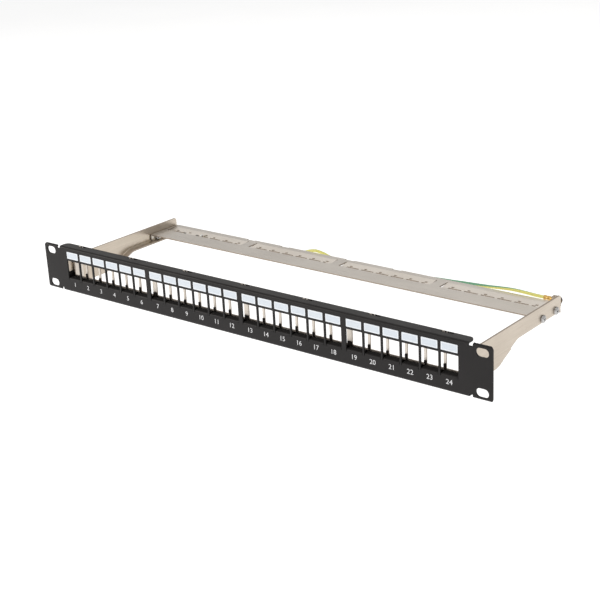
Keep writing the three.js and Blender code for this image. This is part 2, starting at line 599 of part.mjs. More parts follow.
// the lead's free run behind the bar, from the near barrel to the hank
const barrelEndX = EARTH_X - (RING_OUTER + 0.8) - BARREL_LENGTH;
const hankUpper = HANK_TOP - WIRE_DIAMETER / 2;
const hankRear = HANK_Y + HANK_FOLD;
const hankRight = HANK_X + HANK_RUN / 2;
const route = [
  [barrelEndX - GAP, BARREL_Y, EARTH_Z], [193, 150.1, 4.0], [184, 150, 4.5], [176, 150, 4.9], [168, 149.9, 4.9],
  [159, 149.8, 4.4], [149, 149.7, 3.6], [138, 149.6, 3.0], [126, 149.6, 2.4], [112, 149.6, 1.6],
  [96, 149.5, 0.9], [78, 149.4, -0.4], [64, 149.4, -1.2], [52, 149.4, -1.4], [30, 149.5, -1.4], [6, 149.6, -1.4],
  [-8, 149.6, -1.1], [-17, 149.6, -0.2], [-23, 149.6, 1.0], [-30, 149.6, 3.0], [-38, 149.6, 4.0], [-45, 149.6, 2.8],
  [-51, 149.6, 0.8], [-57, 149.7, -0.6], [-65, 149.8, -1.3], [-76, 149.7, -1.4], [-94, 149.6, -1.4],
  [-112, 149.7, -1.4], [-123, 150.3, -1.6],
  [hankRight + GAP, hankRear, hankUpper],
].map((point) => new THREE.Vector3(...point));
const routeCurve = new THREE.CatmullRomCurve3(route, false, 'centripetal');
const WIRE_SIDES = 8;
const wireSection = polygon(Array.from({ length: WIRE_SIDES }, (_, i) => {
  const angle = (i + 0.5) * 2 * Math.PI / WIRE_SIDES;
  return [Math.cos(angle) * WIRE_DIAMETER / 2, Math.sin(angle) * WIRE_DIAMETER / 2];
}));
const wireSteps = Math.ceil(routeCurve.getLength() / (WIRE_DIAMETER * 2.5));
const wireTube = new THREE.ExtrudeGeometry(wireSection, { steps: wireSteps, extrudePath: routeCurve, bevelEnabled: false });
addPart('ground_wire', toSolid(wireTube), wireYellow);

// the spare length, folded into a hank in line with the bar
const hankShape = () => {
  const radius = HANK_FOLD + WIRE_DIAMETER / 2;
  return rounded(hankRight - HANK_RUN - radius, hankRight + radius, HANK_Y - radius, HANK_Y + radius, radius - 0.01);
};
const hankBottom = HANK_TOP - HANK_LAYERS * WIRE_DIAMETER;
const hankSolid = plateXY(hankShape(), hankBottom, HANK_TOP, 6);
const entry = box(hankRight, hankRight + HANK_FOLD + WIRE_DIAMETER,
  hankRear - WIRE_DIAMETER / 2 - GAP, hankRear + WIRE_DIAMETER, hankUpper - WIRE_DIAMETER / 2 - GAP, HANK_TOP + GAP);
addPart('wire_hank', hankSolid.subtract(entry), wireYellow);

// the far terminal, where the wire leaves the hank's lower layer along its front edge
const hankLower = hankBottom + WIRE_DIAMETER / 2;
const hankFront = HANK_Y - HANK_FOLD;
addPart('ring_terminal_far', ringTerminal(FAR_RING_X, hankLower, hankFront - 0.4, hankFront, -1), brass);

// nylon tie round the hank and over the web between one port's two tie slots
const tieOuter = [
  [FRONT_TIE_Y - 0.4, hankBottom - GAP - TIE_SHEET], [hankRear + WIRE_DIAMETER / 2 + GAP + TIE_SHEET, hankBottom - GAP - TIE_SHEET],
  [hankRear + WIRE_DIAMETER / 2 + GAP + TIE_SHEET, HANK_TOP + GAP + TIE_SHEET], [REAR_TIE_Y + 0.6, HANK_TOP + GAP + TIE_SHEET],
  [REAR_TIE_Y + 0.4, 3.5], [FRONT_TIE_Y - 0.4, 3.1],
];
const tieInner = [
  [FRONT_TIE_Y + 0.4, hankBottom - GAP], [hankRear + WIRE_DIAMETER / 2 + GAP, hankBottom - GAP],
  [hankRear + WIRE_DIAMETER / 2 + GAP, HANK_TOP + GAP], [REAR_TIE_Y - 0.4, HANK_TOP + GAP],
  [REAR_TIE_Y - 0.4, 2.8], [FRONT_TIE_Y + 0.4, 2.4],
];
const tieBand = plateYZ(polygon(tieOuter), TIE_X - TIE_WIDTH / 2, TIE_X + TIE_WIDTH / 2)
  .subtract(plateYZ(polygon(tieInner), TIE_X - TIE_WIDTH, TIE_X + TIE_WIDTH));
addPart('hank_tie', tieBand, nylon);

export default assembly;
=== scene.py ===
"""The looks of a 19-inch patch panel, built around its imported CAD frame.

Sizes are in millimetres in the row frame (X along the panel, Y to the rear, Z up) and are
turned into metres when a mesh is made.
"""

import json
import math

import bmesh
import bpy
from mathutils import Matrix, Vector
from mathutils.geometry import tessellate_polygon

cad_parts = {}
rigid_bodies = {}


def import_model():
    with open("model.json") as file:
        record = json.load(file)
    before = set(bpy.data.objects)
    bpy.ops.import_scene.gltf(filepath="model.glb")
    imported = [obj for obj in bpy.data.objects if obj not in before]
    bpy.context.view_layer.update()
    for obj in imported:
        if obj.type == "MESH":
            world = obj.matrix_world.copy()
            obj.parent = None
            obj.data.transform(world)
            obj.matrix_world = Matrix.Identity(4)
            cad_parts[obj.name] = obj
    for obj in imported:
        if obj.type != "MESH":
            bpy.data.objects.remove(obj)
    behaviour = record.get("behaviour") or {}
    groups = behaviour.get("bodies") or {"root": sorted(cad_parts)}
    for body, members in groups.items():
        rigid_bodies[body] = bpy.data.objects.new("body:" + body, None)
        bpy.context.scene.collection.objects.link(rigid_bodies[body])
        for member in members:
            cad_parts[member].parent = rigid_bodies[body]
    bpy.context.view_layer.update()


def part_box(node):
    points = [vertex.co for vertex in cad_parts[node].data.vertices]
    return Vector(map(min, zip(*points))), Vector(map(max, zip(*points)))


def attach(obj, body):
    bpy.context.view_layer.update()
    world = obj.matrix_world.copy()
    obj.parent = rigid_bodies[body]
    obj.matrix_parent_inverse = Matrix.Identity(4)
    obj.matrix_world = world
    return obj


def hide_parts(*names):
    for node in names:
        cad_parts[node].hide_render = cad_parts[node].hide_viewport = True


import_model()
MM = 0.001
QUARTER = math.pi / 2


def cad_box(node):
    """A CAD node's lowest and highest corners, in millimetres."""
    low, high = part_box(node)
    return low / MM, high / MM


def add_object(name, data):
    """Puts a mesh, a curve, a light or the camera into the scene."""
    thing = bpy.data.objects.new(name, data)
    bpy.context.scene.collection.objects.link(thing)
    return thing


def to_mesh(name, bm):
    """Turns a bmesh into a mesh and frees it."""
    mesh = bpy.data.meshes.new(name)
    bm.to_mesh(mesh)
    bm.free()
    return mesh


def discard(thing):
    """Removes an object and its data."""
    bpy.data.batch_remove([thing, thing.data])


def to_bmesh(thing):
    """A bmesh of an object, with its modifiers applied."""
    bpy.context.view_layer.update()
    mesh = thing.evaluated_get(bpy.context.evaluated_depsgraph_get()).to_mesh()
    bm = bmesh.new()
    bm.from_mesh(mesh)
    return bm


# ---------- driving dimensions ----------

PANEL_LOW, PANEL_HIGH = cad_box("front_panel")
PANEL_HALF_WIDTH = PANEL_HIGH.x
PANEL_HALF_HEIGHT = -PANEL_LOW.z
FRONT_FACE = PANEL_LOW.y
FOLD_REAR = PANEL_HIGH.y
PANEL_SHEET = 1.5
PANEL_CORNER = 2.5
FOLD_HALF_LENGTH = 220.8
FOLD_CORNER = 4.5
NOTCH_OUTER = 224.4
NOTCH_DEPTH = 2.8
SLOT_X, SLOT_Z = 232.55, 15.875
SLOT_LENGTH, SLOT_HEIGHT = 11.0, 7.0

GROUPS, PER_GROUP = 4, 6
PORT_PITCH, GROUP_PITCH = 17.41, 107.2
PORT_HALF_WIDTH = 7.85
PORT_BOTTOM, PORT_TOP = -7.8, 8.8
LEDGE_HALF_WIDTH = 7.45
LEDGE_REAR = 4.1
LABEL_HALF_WIDTH = 7.45
LABEL_BOTTOM, LABEL_TOP = 10.6, 17.5
CLIP_PITCH = 66.0
CLIP_PLACES = [(i - 3) * CLIP_PITCH for i in range(7)]

PORTS = [
    ((group - 1.5) * GROUP_PITCH + (index - 2.5) * PORT_PITCH, group, index)
    for group in range(GROUPS)
    for index in range(PER_GROUP)
]

def group_ports(group):
    """The middles of a group's ports, from left to right."""
    return [x for x, of_group, _ in PORTS if of_group == group]


# ---------- camera ----------

CAMERA_PLACE = Vector((684.4, -745.7, 384.0)) * MM
CAMERA_AZIMUTH = math.radians(39.762)
CAMERA_ELEVATION = math.radians(20.403)
CAMERA_ROLL = math.radians(-2.981)
CAMERA_LENS = 78.18


def make_camera():
    a, e, r = CAMERA_AZIMUTH, CAMERA_ELEVATION, CAMERA_ROLL
    forward = Vector((-math.sin(a) * math.cos(e), math.cos(a) * math.cos(e), -math.sin(e)))
    level = Vector((math.cos(a), math.sin(a), 0))
    upward = level.cross(forward)
    right = level * math.cos(r) + upward * math.sin(r)
    up = upward * math.cos(r) - level * math.sin(r)
    data = bpy.data.cameras.new("camera")
    data.lens = CAMERA_LENS
    data.sensor_width = 36
    data.clip_start, data.clip_end = 0.01, 20
    camera = add_object("camera", data)
    turn = Matrix((right, up, -forward)).transposed().to_4x4()
    camera.matrix_world = Matrix.Translation(CAMERA_PLACE) @ turn
    bpy.context.scene.camera = camera


# ---------- outlines and sheets ----------


def ease(share):
    """Goes from 0 to 1 with a soft start and a soft end."""
    return share * share * (3 - 2 * share)


def both_sides(values):
    return values + [-value for value in values]


def arc(cx, cy, radius, start, stop, steps=6):
    """Points of an arc, angles in quarter turns."""
    turns = [start + (stop - start) * i / steps for i in range(steps + 1)]
    return [(cx + radius * math.cos(t * QUARTER), cy + radius * math.sin(t * QUARTER)) for t in turns]


def rounded_top(left, right, top, radius, steps=3):
    """The two rounded corners of a top edge, from right to left."""
    return (
        arc(right - radius, top - radius, radius, 0, 1, steps)
        + arc(left + radius, top - radius, radius, 1, 2, steps)
    )


def rounded_box(x0, x1, y0, y1, radius, steps=3):
    """An outline going anticlockwise."""
    return (
        arc(x1 - radius, y0 + radius, radius, -1, 0, steps)
        + rounded_top(x0, x1, y1, radius, steps)
        + arc(x0 + radius, y0 + radius, radius, 2, 3, steps)
    )


def circle(cx, cy, radius, steps=24):
    return arc(cx, cy, radius, 0, 4, steps)[:-1]


def signed_area(loop):
    pairs = zip(loop, loop[1:] + loop[:1])
    return sum(a[0] * b[1] - b[0] * a[1] for a, b in pairs) / 2


def clean(loop):
    """The loop without repeated points."""
    return [p for p, q in zip(loop, loop[1:] + loop[:1]) if math.dist(p, q) > 1e-5]


def inset(loop, distance):
    """The loop moved towards its left, which is the side of the material."""
    moved = []
    for i, point in enumerate(loop):
        before, after = loop[i - 1], loop[(i + 1) % len(loop)]
        a = (Vector(point) - Vector(before)).normalized()
        b = (Vector(after) - Vector(point)).normalized()
        left_a, left_b = Vector((-a.y, a.x)), Vector((-b.y, b.x))
        mitre = (left_a + left_b) / max(0.4, 1 + left_a.dot(left_b))
        moved.append((point[0] + mitre.x * distance, point[1] + mitre.y * distance))
    return moved


def sheet_mesh(outline, holes=(), thickness=1.0, edge=0.15, rounds=2):
    """A flat sheet with rounded edges: u, v in its plane and w from 0 to its thickness.
    Its rim attribute is 1 on the cut edges and 0 on both faces."""
    loops = [clean(list(outline))] + [clean(list(hole)) for hole in holes]
    loops = [
        loop if (signed_area(loop) > 0) == (i == 0) else loop[::-1]
        for i, loop in enumerate(loops)
    ]
    bm = bmesh.new()
    rim = bm.verts.layers.float.new("rim")
    steps = [k / rounds * QUARTER for k in range(rounds + 1)]
    levels = [(edge * (1 - math.sin(t)), edge * (1 - math.cos(t))) for t in steps]
    levels += [(back, thickness - w) for back, w in reversed(levels)]
    rings = []
    for distance, w in levels:
        rings.append([
            [bm.verts.new((u, v, w)) for u, v in inset(loop, distance)] for loop in loops
        ])
    for vert in [v for ring in rings[1:-1] for loop in ring for v in loop]:
        vert[rim] = 1.0
    for ring, above in zip(rings, rings[1:]):
        for low, high in zip(ring, above):
            for i in range(len(low)):
                j = (i + 1) % len(low)
                bm.faces.new((low[j], low[i], high[i], high[j]))
    for ring, flip in ((rings[0], False), (rings[-1], True)):
        flat = [vert for loop in ring for vert in loop]
        polygons = [[vert.co for vert in loop] for loop in ring]
        for triangle in tessellate_polygon(polygons):
            corners = [flat[i] for i in triangle]
            normal = (corners[1].co - corners[0].co).cross(corners[2].co - corners[0].co)
            if normal.length < 1e-12:
                continue
            if (normal.z > 0) != flip:
                corners.reverse()
            bm.faces.new(corners)
    return bm


def slice_mesh(bm, axis, places):
    """Adds edges where the mesh crosses each plane, so that it can bend there."""
    normal = Vector((axis == 0, axis == 1, axis == 2))
    for along in places:
        whole = bm.verts[:] + bm.edges[:] + bm.faces[:]
        bmesh.ops.bisect_plane(bm, geom=whole, plane_co=normal * along, plane_no=normal, dist=1e-5)


class Bend:
    """A bend in a sheet, by its inside radius and the sheet's thickness."""

    def __init__(self, inside, sheet):
        self.inside = inside
        self.outer = inside + sheet
        self.neutral = inside + sheet / 2
        self.arc = QUARTER * self.neutral

    def places(self, start, steps=5, side=1, turn=QUARTER):
        """Where the flat sheet is cut into strips, from the bend's start to its end."""
        length = side * turn * self.neutral
        return [start + length * i / steps for i in range(steps + 1)]

    def flat(self, start, reach, side=1):
        """Where a point past a right-angled bend, this far from its outer face, lies when flat."""
        return start + side * (self.arc + reach - self.outer)


def fold(verts, axis, start, side, towards, bend, turn=QUARTER):
    """Bends what lies beyond start. side is the way along the axis that goes beyond it, and
    towards is 1 to bend to the sheet's rear face or -1 to bend to its front face."""
    for vert in verts:
        beyond = side * (vert.co[axis] - start)
        if beyond <= 1e-6:
            continue
        angle = min(turn, beyond / bend.neutral)
        straight = max(0.0, beyond - bend.neutral * turn)
        if towards > 0:
            rho, centre = bend.outer - vert.co.z, bend.outer
        else:
            rho, centre = bend.inside + vert.co.z, -bend.inside
        along = rho * math.sin(angle) + straight * math.cos(angle)
        vert.co[axis] = start + side * along
        vert.co.z = centre + towards * (straight * math.sin(angle) - rho * math.cos(angle))


def skin(bm, rings, closed=False, caps=False):
    """Joins each ring of vertices to the next with faces. A ring may be a single vertex."""
    for ring, after in zip(rings, rings[1:] + rings[:1] if closed else rings[1:]):
        sides = max(len(ring), len(after))
        for k in range(sides):
            pairs = ((ring, k), (ring, k + 1), (after, k + 1), (after, k))
            corners = list(dict.fromkeys(group[i % len(group)] for group, i in pairs))
            if len(corners) > 2:
                bm.faces.new(corners)
    if caps:
        bm.faces.new(rings[0])
        bm.faces.new(rings[-1])


def place(bm, to_row):
    """Moves sheet coordinates into the row frame, in millimetres."""
    for vert in bm.verts:
        vert.co = Vector(to_row(*vert.co))


def join_meshes(parts):
    whole = bmesh.new()
    for bm in parts:
        mesh = to_mesh("part", bm)
        whole.from_mesh(mesh)
        bpy.data.meshes.remove(mesh)
    return whole


def upright_sheet(outline, holes, front, thickness, edge=0.12):
    """A sheet that stands facing the front, outline in X and Z."""
    bm = sheet_mesh(outline, holes, thickness, edge)
    place(bm, lambda u, v, w: (u, front + w, v))
    return bm


def piece(name, bm, material, nodes=(), smooth=30.0, weighted=True):
    """Turns a bmesh in millimetres into a finished piece of the object."""
    bmesh.ops.remove_doubles(bm, verts=bm.verts, dist=1e-4)
    loose = [vert for vert in bm.verts if not vert.link_faces]
    bmesh.ops.delete(bm, geom=loose, context="VERTS")
    bmesh.ops.recalc_face_normals(bm, faces=bm.faces)
    bmesh.ops.scale(bm, vec=Vector((MM, MM, MM)), verts=bm.verts)
    mesh = to_mesh(name, bm)
    mesh.materials.append(material)
    mesh.shade_smooth()
    mesh.set_sharp_from_angle(angle=math.radians(smooth))
    thing = add_object(name, mesh)
    if weighted:
        thing.modifiers.new("normals", "WEIGHTED_NORMAL").keep_sharp = True
    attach(thing, "root")
    if nodes:
        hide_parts(*nodes)
    return thing


# ---------- materials ----------


class Nodes:
    """A short way to build a material's node tree."""

    def __init__(self, name):
        self.material = bpy.data.materials.new(name)
        self.material.use_nodes = True
        self.tree = self.material.node_tree
        self.shader = self.tree.nodes["Principled BSDF"]
        self.position = self.add("ShaderNodeNewGeometry").outputs["Position"]

    def add(self, kind, inputs=None, **settings):
        node = self.tree.nodes.new(kind)
        for key, value in settings.items():
            setattr(node, key, value)
        for key, value in (inputs or {}).items():
            self.feed(node.inputs[key], value)
        return node

    def feed(self, socket, value):
        if isinstance(value, bpy.types.NodeSocket):
            self.tree.links.new(value, socket)
        else:
            socket.default_value = value

    def set(self, **inputs):
        """Feeds the shader's inputs, named with _ for each space."""
        for key, value in inputs.items():
            self.feed(self.shader.inputs[key.replace("_", " ")], value)

    def attribute(self, name):
        return self.add("ShaderNodeAttribute", attribute_name=name).outputs["Fac"]

    def fade(self, axis, start, stop):
        """Goes from 0 to 1 between two places on an axis, in millimetres."""
        axes = self.add("ShaderNodeSeparateXYZ", {"Vector": self.position}).outputs
        inputs = {"Value": axes[axis], "From Min": start * MM, "From Max": stop * MM}
        return self.add("ShaderNodeMapRange", inputs).outputs["Result"]

    def noise(self, scale, detail, stretch=(1, 1, 1), roughness=0.5):
        """Noise in space. The stretch scales each axis, for grain that runs one way."""
        vector = self.position
        if stretch != (1, 1, 1):
            mapping = self.add("ShaderNodeMapping", {"Vector": vector, "Scale": stretch})
            vector = mapping.outputs["Vector"]
        inputs = {"Vector": vector, "Scale": scale, "Detail": detail, "Roughness": roughness}
        return self.add("ShaderNodeTexNoise", inputs).outputs["Fac"]

    def ramp(self, value, first, last, start=0.3, stop=0.7):
        """Maps a number from start to stop to the way between two colours or two greys."""
        node = self.add("ShaderNodeValToRGB", {"Fac": value})
        for element, where, colour in zip(node.color_ramp.elements, (start, stop), (first, last)):
            element.position = where
            element.color = (*colour, 1) if isinstance(colour, tuple) else (colour, colour, colour, 1)
        return node.outputs["Color"]

    def mottle(self, scale, detail, first, last):
        return self.ramp(self.noise(scale, detail), first, last)

    def mix(self, amount, first, second, blend="MIX"):
        node = self.add("ShaderNodeMix", data_type="RGBA", blend_type=blend)
        for index, value in ((0, amount), (6, first), (7, second)):
            self.feed(node.inputs[index], value)
        return node.outputs[2]

    def bump(self, height, strength, distance=0.0001):
        node = self.add("ShaderNodeBump", {"Height": height, "Strength": strength, "Distance": distance})
        self.set(Normal=node.outputs["Normal"])


def rgb(red, green, blue):
    """A colour given as the 0 to 255 values that a screen shows, made linear."""
    def linear(value):
        share = value / 255
        return share / 12.92 if share <= 0.04045 else ((share + 0.055) / 1.055) ** 2.4
    return (linear(red), linear(green), linear(blue))


def powder_coat():
    """Satin black powder coat: fine pebbled skin and faint cloudiness, with painted shade on
    the ledges and the rear of the sheet, which are painted near black and matt."""
    n = Nodes("powder_coat")
    # painted shade: behind the front face and below the port tops, on the ledges and the rear of the sheet,
    # the coat is painted near black and matt where shade falls
    behind = n.fade("Y", FRONT_FACE + 0.6, 0.0)
    low = n.fade("Z", PORT_TOP + 2, PORT_TOP)
    painted_shade = n.mix(1.0, behind, low, "MULTIPLY")
    base = n.mottle(26, 4, rgb(20, 18, 18), rgb(27, 24, 24))
    grain = n.ramp(n.noise(2600, 2), rgb(16, 15, 15), rgb(36, 33, 33), 0.35)
    n.set(Base_Color=n.mix(painted_shade, n.mix(0.35, base, grain), (*rgb(16, 12, 11), 1)))
    n.set(Roughness=n.mix(painted_shade, n.mottle(60, 3, 0.4, 0.48), (0.95, 0.95, 0.95, 1)))
    n.set(Specular_IOR_Level=0.25)
    n.bump(n.noise(2000, 2), 0.12, 0.0002)
    return n.material


def plated_steel(name, light, dark, axis, roughness=0.3):
    """Plain plated sheet: rolling grain along one axis, soft stains, fine scratches and
    darker, rougher cut edges."""
    n = Nodes(name)
    stretch = tuple(12.0 if i == axis else 420.0 for i in range(3))
    grain = n.noise(3, 5, stretch, 0.65)
    tone = n.ramp(n.noise(18, 4), light, dark, 0.3, 0.75)
    sheet = n.mix(0.16, tone, n.ramp(grain, rgb(148, 140, 132), rgb(236, 230, 222)))
    rim = n.attribute("rim")
    n.set(Base_Color=n.mix(rim, sheet, n.mottle(2400, 2, rgb(154, 142, 130), rgb(182, 170, 158))))
    polish = n.ramp(grain, roughness, roughness + 0.14, 0.25, 0.8)
    n.set(Roughness=n.mix(rim, polish, (0.6, 0.6, 0.6, 1)), Metallic=0.9)
    n.bump(grain, 0.06, 0.0002)
    return n.material


def zinc_plate(name, light, dark, roughness):
    """A plated fastener: slight mottling and tool marks."""
    n = Nodes(name)
    marks = n.noise(900, 4)
    n.set(Base_Color=n.ramp(marks, dark, light), Metallic=0.9)
    n.set(Roughness=n.mottle(1500, 3, roughness, roughness + 0.14))
    n.bump(marks, 0.06)
    return n.material


def label_card(name, dark, light):
    """White card under a clear cover, with a faint blue cast."""
    n = Nodes(name)
    fibre = n.noise(1800, 4)
    n.set(Base_Color=n.ramp(fibre, dark, light), Roughness=n.mottle(500, 2, 0.3, 0.42))
    n.bump(fibre, 0.03)
    return n.material


def black_steel():
    """The dark, matt finish of the latch combs."""
    n = Nodes("black_steel")
    cloud = n.noise(300, 4)
    n.set(Base_Color=n.ramp(cloud, rgb(14, 10, 8), rgb(24, 18, 15)), Roughness=n.ramp(cloud, 0.5, 0.62))
    n.set(Specular_IOR_Level=0.15)
    n.bump(n.noise(1800, 2), 0.1)
    return n.material


def printed_ink():
    n = Nodes("printed_ink")
    n.set(Base_Color=n.ramp(n.noise(3000, 3), rgb(200, 200, 201), rgb(228, 228, 230), 0.3, 0.6))
    n.set(Roughness=n.mottle(1200, 2, 0.45, 0.6))
    return n.material


def wire_sleeve():
    """Two-colour PVC sleeve: the stripe attribute says which side of the wire a point is on."""
    n = Nodes("wire_sleeve")
    colour = n.ramp(n.attribute("stripe"), rgb(228, 222, 108), rgb(82, 156, 112), 0.47, 0.53)
    n.set(Base_Color=n.mix(0.12, colour, n.mottle(700, 3, 0.2, 0.9)))
    n.set(Roughness=n.mottle(900, 2, 0.34, 0.48))
    n.bump(n.noise(1400, 2), 0.05)
    return n.material


def nylon():
    n = Nodes("nylon")
    n.set(Base_Color=n.mottle(700, 3, rgb(222, 220, 212), rgb(240, 238, 232)))
    n.set(Roughness=n.mottle(900, 2, 0.38, 0.5), Subsurface_Weight=0.1)
    return n.material


PAINT = powder_coat()
GALVANISED = plated_steel("galvanised_steel", rgb(214, 208, 200), rgb(200, 193, 184), 0, 0.26)
BRACKET_STEEL = plated_steel("bracket_steel", rgb(205, 193, 177), rgb(187, 174, 158), 1, 0.26)
FRAME_STEEL = plated_steel("frame_steel", rgb(224, 216, 206), rgb(198, 190, 180), 2)
ZINC = zinc_plate("zinc", rgb(206, 205, 204), rgb(160, 158, 156), 0.28)
DARK_ZINC = zinc_plate("dark_zinc", rgb(72, 64, 60), rgb(40, 34, 32), 0.36)
BRASS = zinc_plate("tarnished_brass", rgb(234, 200, 124), rgb(182, 136, 70), 0.3)
LABEL = label_card("label_card", rgb(203, 211, 219), rgb(211, 218, 226))
LABEL_HOLDER = label_card("label_holder", rgb(222, 227, 233), rgb(230, 234, 239))
BLACK_STEEL = black_steel()
INK = printed_ink()
SLEEVE = wire_sleeve()
NYLON = nylon()

# ---------- ground lead ----------

WIRE_DIAMETER = 2.8
WIRE_SIDES = 18
HANK_LOW, HANK_HIGH = cad_box("wire_hank")
HANK_FOLD = 8.4
HANK_RIGHT = HANK_HIGH.x - HANK_FOLD - WIRE_DIAMETER / 2
HANK_LEFT = HANK_LOW.x + HANK_FOLD + WIRE_DIAMETER / 2
HANK_Y = (HANK_LOW.y + HANK_HIGH.y) / 2
HANK_UPPER = HANK_HIGH.z - WIRE_DIAMETER / 2
HANK_LOWER = HANK_LOW.z + WIRE_DIAMETER / 2
GAP = 0.3
NEAR_LOW = cad_box("ring_terminal_near")[0]
FAR_LOW, FAR_HIGH = cad_box("ring_terminal_far")
WIRE_EXIT = (NEAR_LOW.x - GAP, 150.2, 3.9)
STRIPE_START = 1.43
STRIPE_TWIST = 230.0  # length of wire in one turn of its stripe

# the route behind the bar, point by point as in the CAD source
FREE_RUN = [
    WIRE_EXIT, (193, 150.1, 4.0), (184, 150, 4.5), (176, 150, 4.9), (168, 149.9, 4.9),
    (159, 149.8, 4.4), (149, 149.7, 3.6), (138, 149.6, 3.0), (126, 149.6, 2.4), (112, 149.6, 1.6),
    (96, 149.5, 0.9), (78, 149.4, -0.4), (64, 149.4, -1.2), (52, 149.4, -1.4), (30, 149.5, -1.4),
    (6, 149.6, -1.4), (-8, 149.6, -1.1), (-17, 149.6, -0.2), (-23, 149.6, 1.0), (-30, 149.6, 3.0),
    (-38, 149.6, 4.0), (-45, 149.6, 2.8), (-51, 149.6, 0.8), (-57, 149.7, -0.6), (-65, 149.8, -1.3),
    (-76, 149.7, -1.4), (-94, 149.6, -1.4), (-112, 149.7, -1.4), (-123, 150.3, -1.6),
    (HANK_RIGHT + GAP, HANK_Y + HANK_FOLD, HANK_UPPER),
]


def between(p, q, start, stop, where):
    """The point at where on a line that is at p at start and at q at stop."""
    return p * (stop - where) / (stop - start) + q * (where - start) / (stop - start)


def smooth_run(points, step=1.0):
    """A centripetal Catmull-Rom curve through the points, sampled about every step."""
    points = [Vector(p) for p in points]
    padded = [2 * points[0] - points[1], *points, 2 * points[-1] - points[-2]]
    run = []
    for corners in zip(padded, padded[1:], padded[2:], padded[3:]):
        knots = [0.0]
        for p, q in zip(corners, corners[1:]):
            knots.append(knots[-1] + (q - p).length ** 0.5)
        count = max(2, round((corners[2] - corners[1]).length / step))
        for i in range(count):
            t = knots[1] + (knots[2] - knots[1]) * i / count
            ab, bc, cd = (between(*corners[k:k + 2], *knots[k:k + 2], t) for k in range(3))
            abc = between(ab, bc, knots[0], knots[2], t)
            bcd = between(bc, cd, knots[1], knots[3], t)
            run.append(between(abc, bcd, knots[1], knots[2], t))
    run.append(points[-1])
    return run


def hank_turns(step=1.0):
    """The folded length: a whole loop in the upper layer, then one in the lower layer."""
    rear, front = HANK_Y + HANK_FOLD, HANK_Y - HANK_FOLD
    turns = []

    def straight(x0, x1, y, z):
        count = round(abs(x1 - x0) / step)
        turns.extend(Vector((x0 + (x1 - x0) * i / count, y, z)) for i in range(1, count + 1))

    def bend(x, start, z0, z1):
        count = round(math.pi * HANK_FOLD / step)
        for i in range(1, count + 1):
            share = i / count
            angle = start * QUARTER + math.pi * share
            across, along = HANK_FOLD * math.sin(angle), HANK_FOLD * math.cos(angle)
            turns.append(Vector((x + along, HANK_Y + across, z0 + (z1 - z0) * ease(share))))

    straight(HANK_RIGHT, HANK_LEFT, rear, HANK_UPPER)
    bend(HANK_LEFT, 1, HANK_UPPER, HANK_UPPER)
    straight(HANK_LEFT, HANK_RIGHT, front, HANK_UPPER)
    bend(HANK_RIGHT, -1, HANK_UPPER, HANK_LOWER)
    straight(HANK_RIGHT, HANK_LEFT, rear, HANK_LOWER)
    bend(HANK_LEFT, 1, HANK_LOWER, HANK_LOWER)
    straight(HANK_LEFT, FAR_LOW.x - GAP, front, HANK_LOWER)
    return turns


def tube(path, radius, sides, twist_length):
    """A closed tube along a path, with the stripe attribute of a two-colour sleeve."""
    bm = bmesh.new()
    stripe = bm.verts.layers.float.new("stripe")
    side = Vector((0, 1, 0))
    rings, run = [], 0.0
    for i, point in enumerate(path):
        ahead = (path[min(i + 1, len(path) - 1)] - path[max(i - 1, 0)]).normalized()
        side = (side - ahead * side.dot(ahead)).normalized()
        other = ahead.cross(side)
        if i:
            run += (point - path[i - 1]).length
        ring = []
        for k in range(sides):
            angle = 2 * math.pi * k / sides
            vert = bm.verts.new(point + (side * math.cos(angle) + other * math.sin(angle)) * radius)
            vert[stripe] = 0.5 + 0.5 * math.sin(angle + STRIPE_START + 2 * math.pi * run / twist_length)
            ring.append(vert)
        rings.append(ring)
    skin(bm, rings, caps=True)
    return bm


def make_wire():
    path = smooth_run(FREE_RUN) + hank_turns()
    bm = tube(path, WIRE_DIAMETER / 2, WIRE_SIDES, STRIPE_TWIST)
    wire = piece(
        "ground_wire_sleeve", bm, SLEEVE, ["ground_wire", "wire_hank"], weighted=False)


# ---------- front panel ----------

PANEL_FOLD = Bend(0.7, PANEL_SHEET)
FOLD_START = PANEL_HALF_HEIGHT - PANEL_FOLD.outer
LEDGE_FOLD = Bend(0.4, PANEL_SHEET)
LEDGE_START = PORT_BOTTOM - LEDGE_FOLD.outer
LEDGE_TIP = LEDGE_FOLD.flat(LEDGE_START, LEDGE_REAR - FRONT_FACE)
CUT_BACK = 0.3  # from the start of a bend to the end of the cuts beside it
CORNER = 0.4  # radius in the corners of ports and label windows
CLIP_SLOT = (-5.2, 5.0, 6.1, 8.2)  # left, right, front and rear, from the slot's middle


def mirrored_outline(chain):
    """An anticlockwise outline from its right upper quarter."""
    left = [(-x, y) for x, y in reversed(chain)]
    below = [(x, -y) for x, y in reversed(chain)]
    return chain + left + [(-x, -y) for x, y in chain] + below


def panel_outline():
    ear = arc(PANEL_HALF_WIDTH - PANEL_CORNER, PANEL_HALF_HEIGHT - PANEL_CORNER, PANEL_CORNER, 0, 1)
    notch = PANEL_HALF_HEIGHT - NOTCH_DEPTH
    step = [(NOTCH_OUTER, PANEL_HALF_HEIGHT), (NOTCH_OUTER, notch), (FOLD_HALF_LENGTH, notch)]
    top = flange_place(FOLD_REAR)
    end = arc(FOLD_HALF_LENGTH - FOLD_CORNER, top - FOLD_CORNER, FOLD_CORNER, 0, 1)
    return mirrored_outline(ear + step + end)


def port_hole(x):
    """A port with the tab that folds back into its ledge."""
    foot = LEDGE_START - CUT_BACK
    left, right = x - PORT_HALF_WIDTH, x + PORT_HALF_WIDTH
    tab_left, tab_right = x - LEDGE_HALF_WIDTH, x + LEDGE_HALF_WIDTH
    port = [(left, foot), *rounded_top(left, right, PORT_TOP, CORNER)[::-1], (right, foot)]
    tab = [(tab_right, foot), *rounded_top(tab_left, tab_right, LEDGE_TIP, CORNER), (tab_left, foot)]
    return port + tab


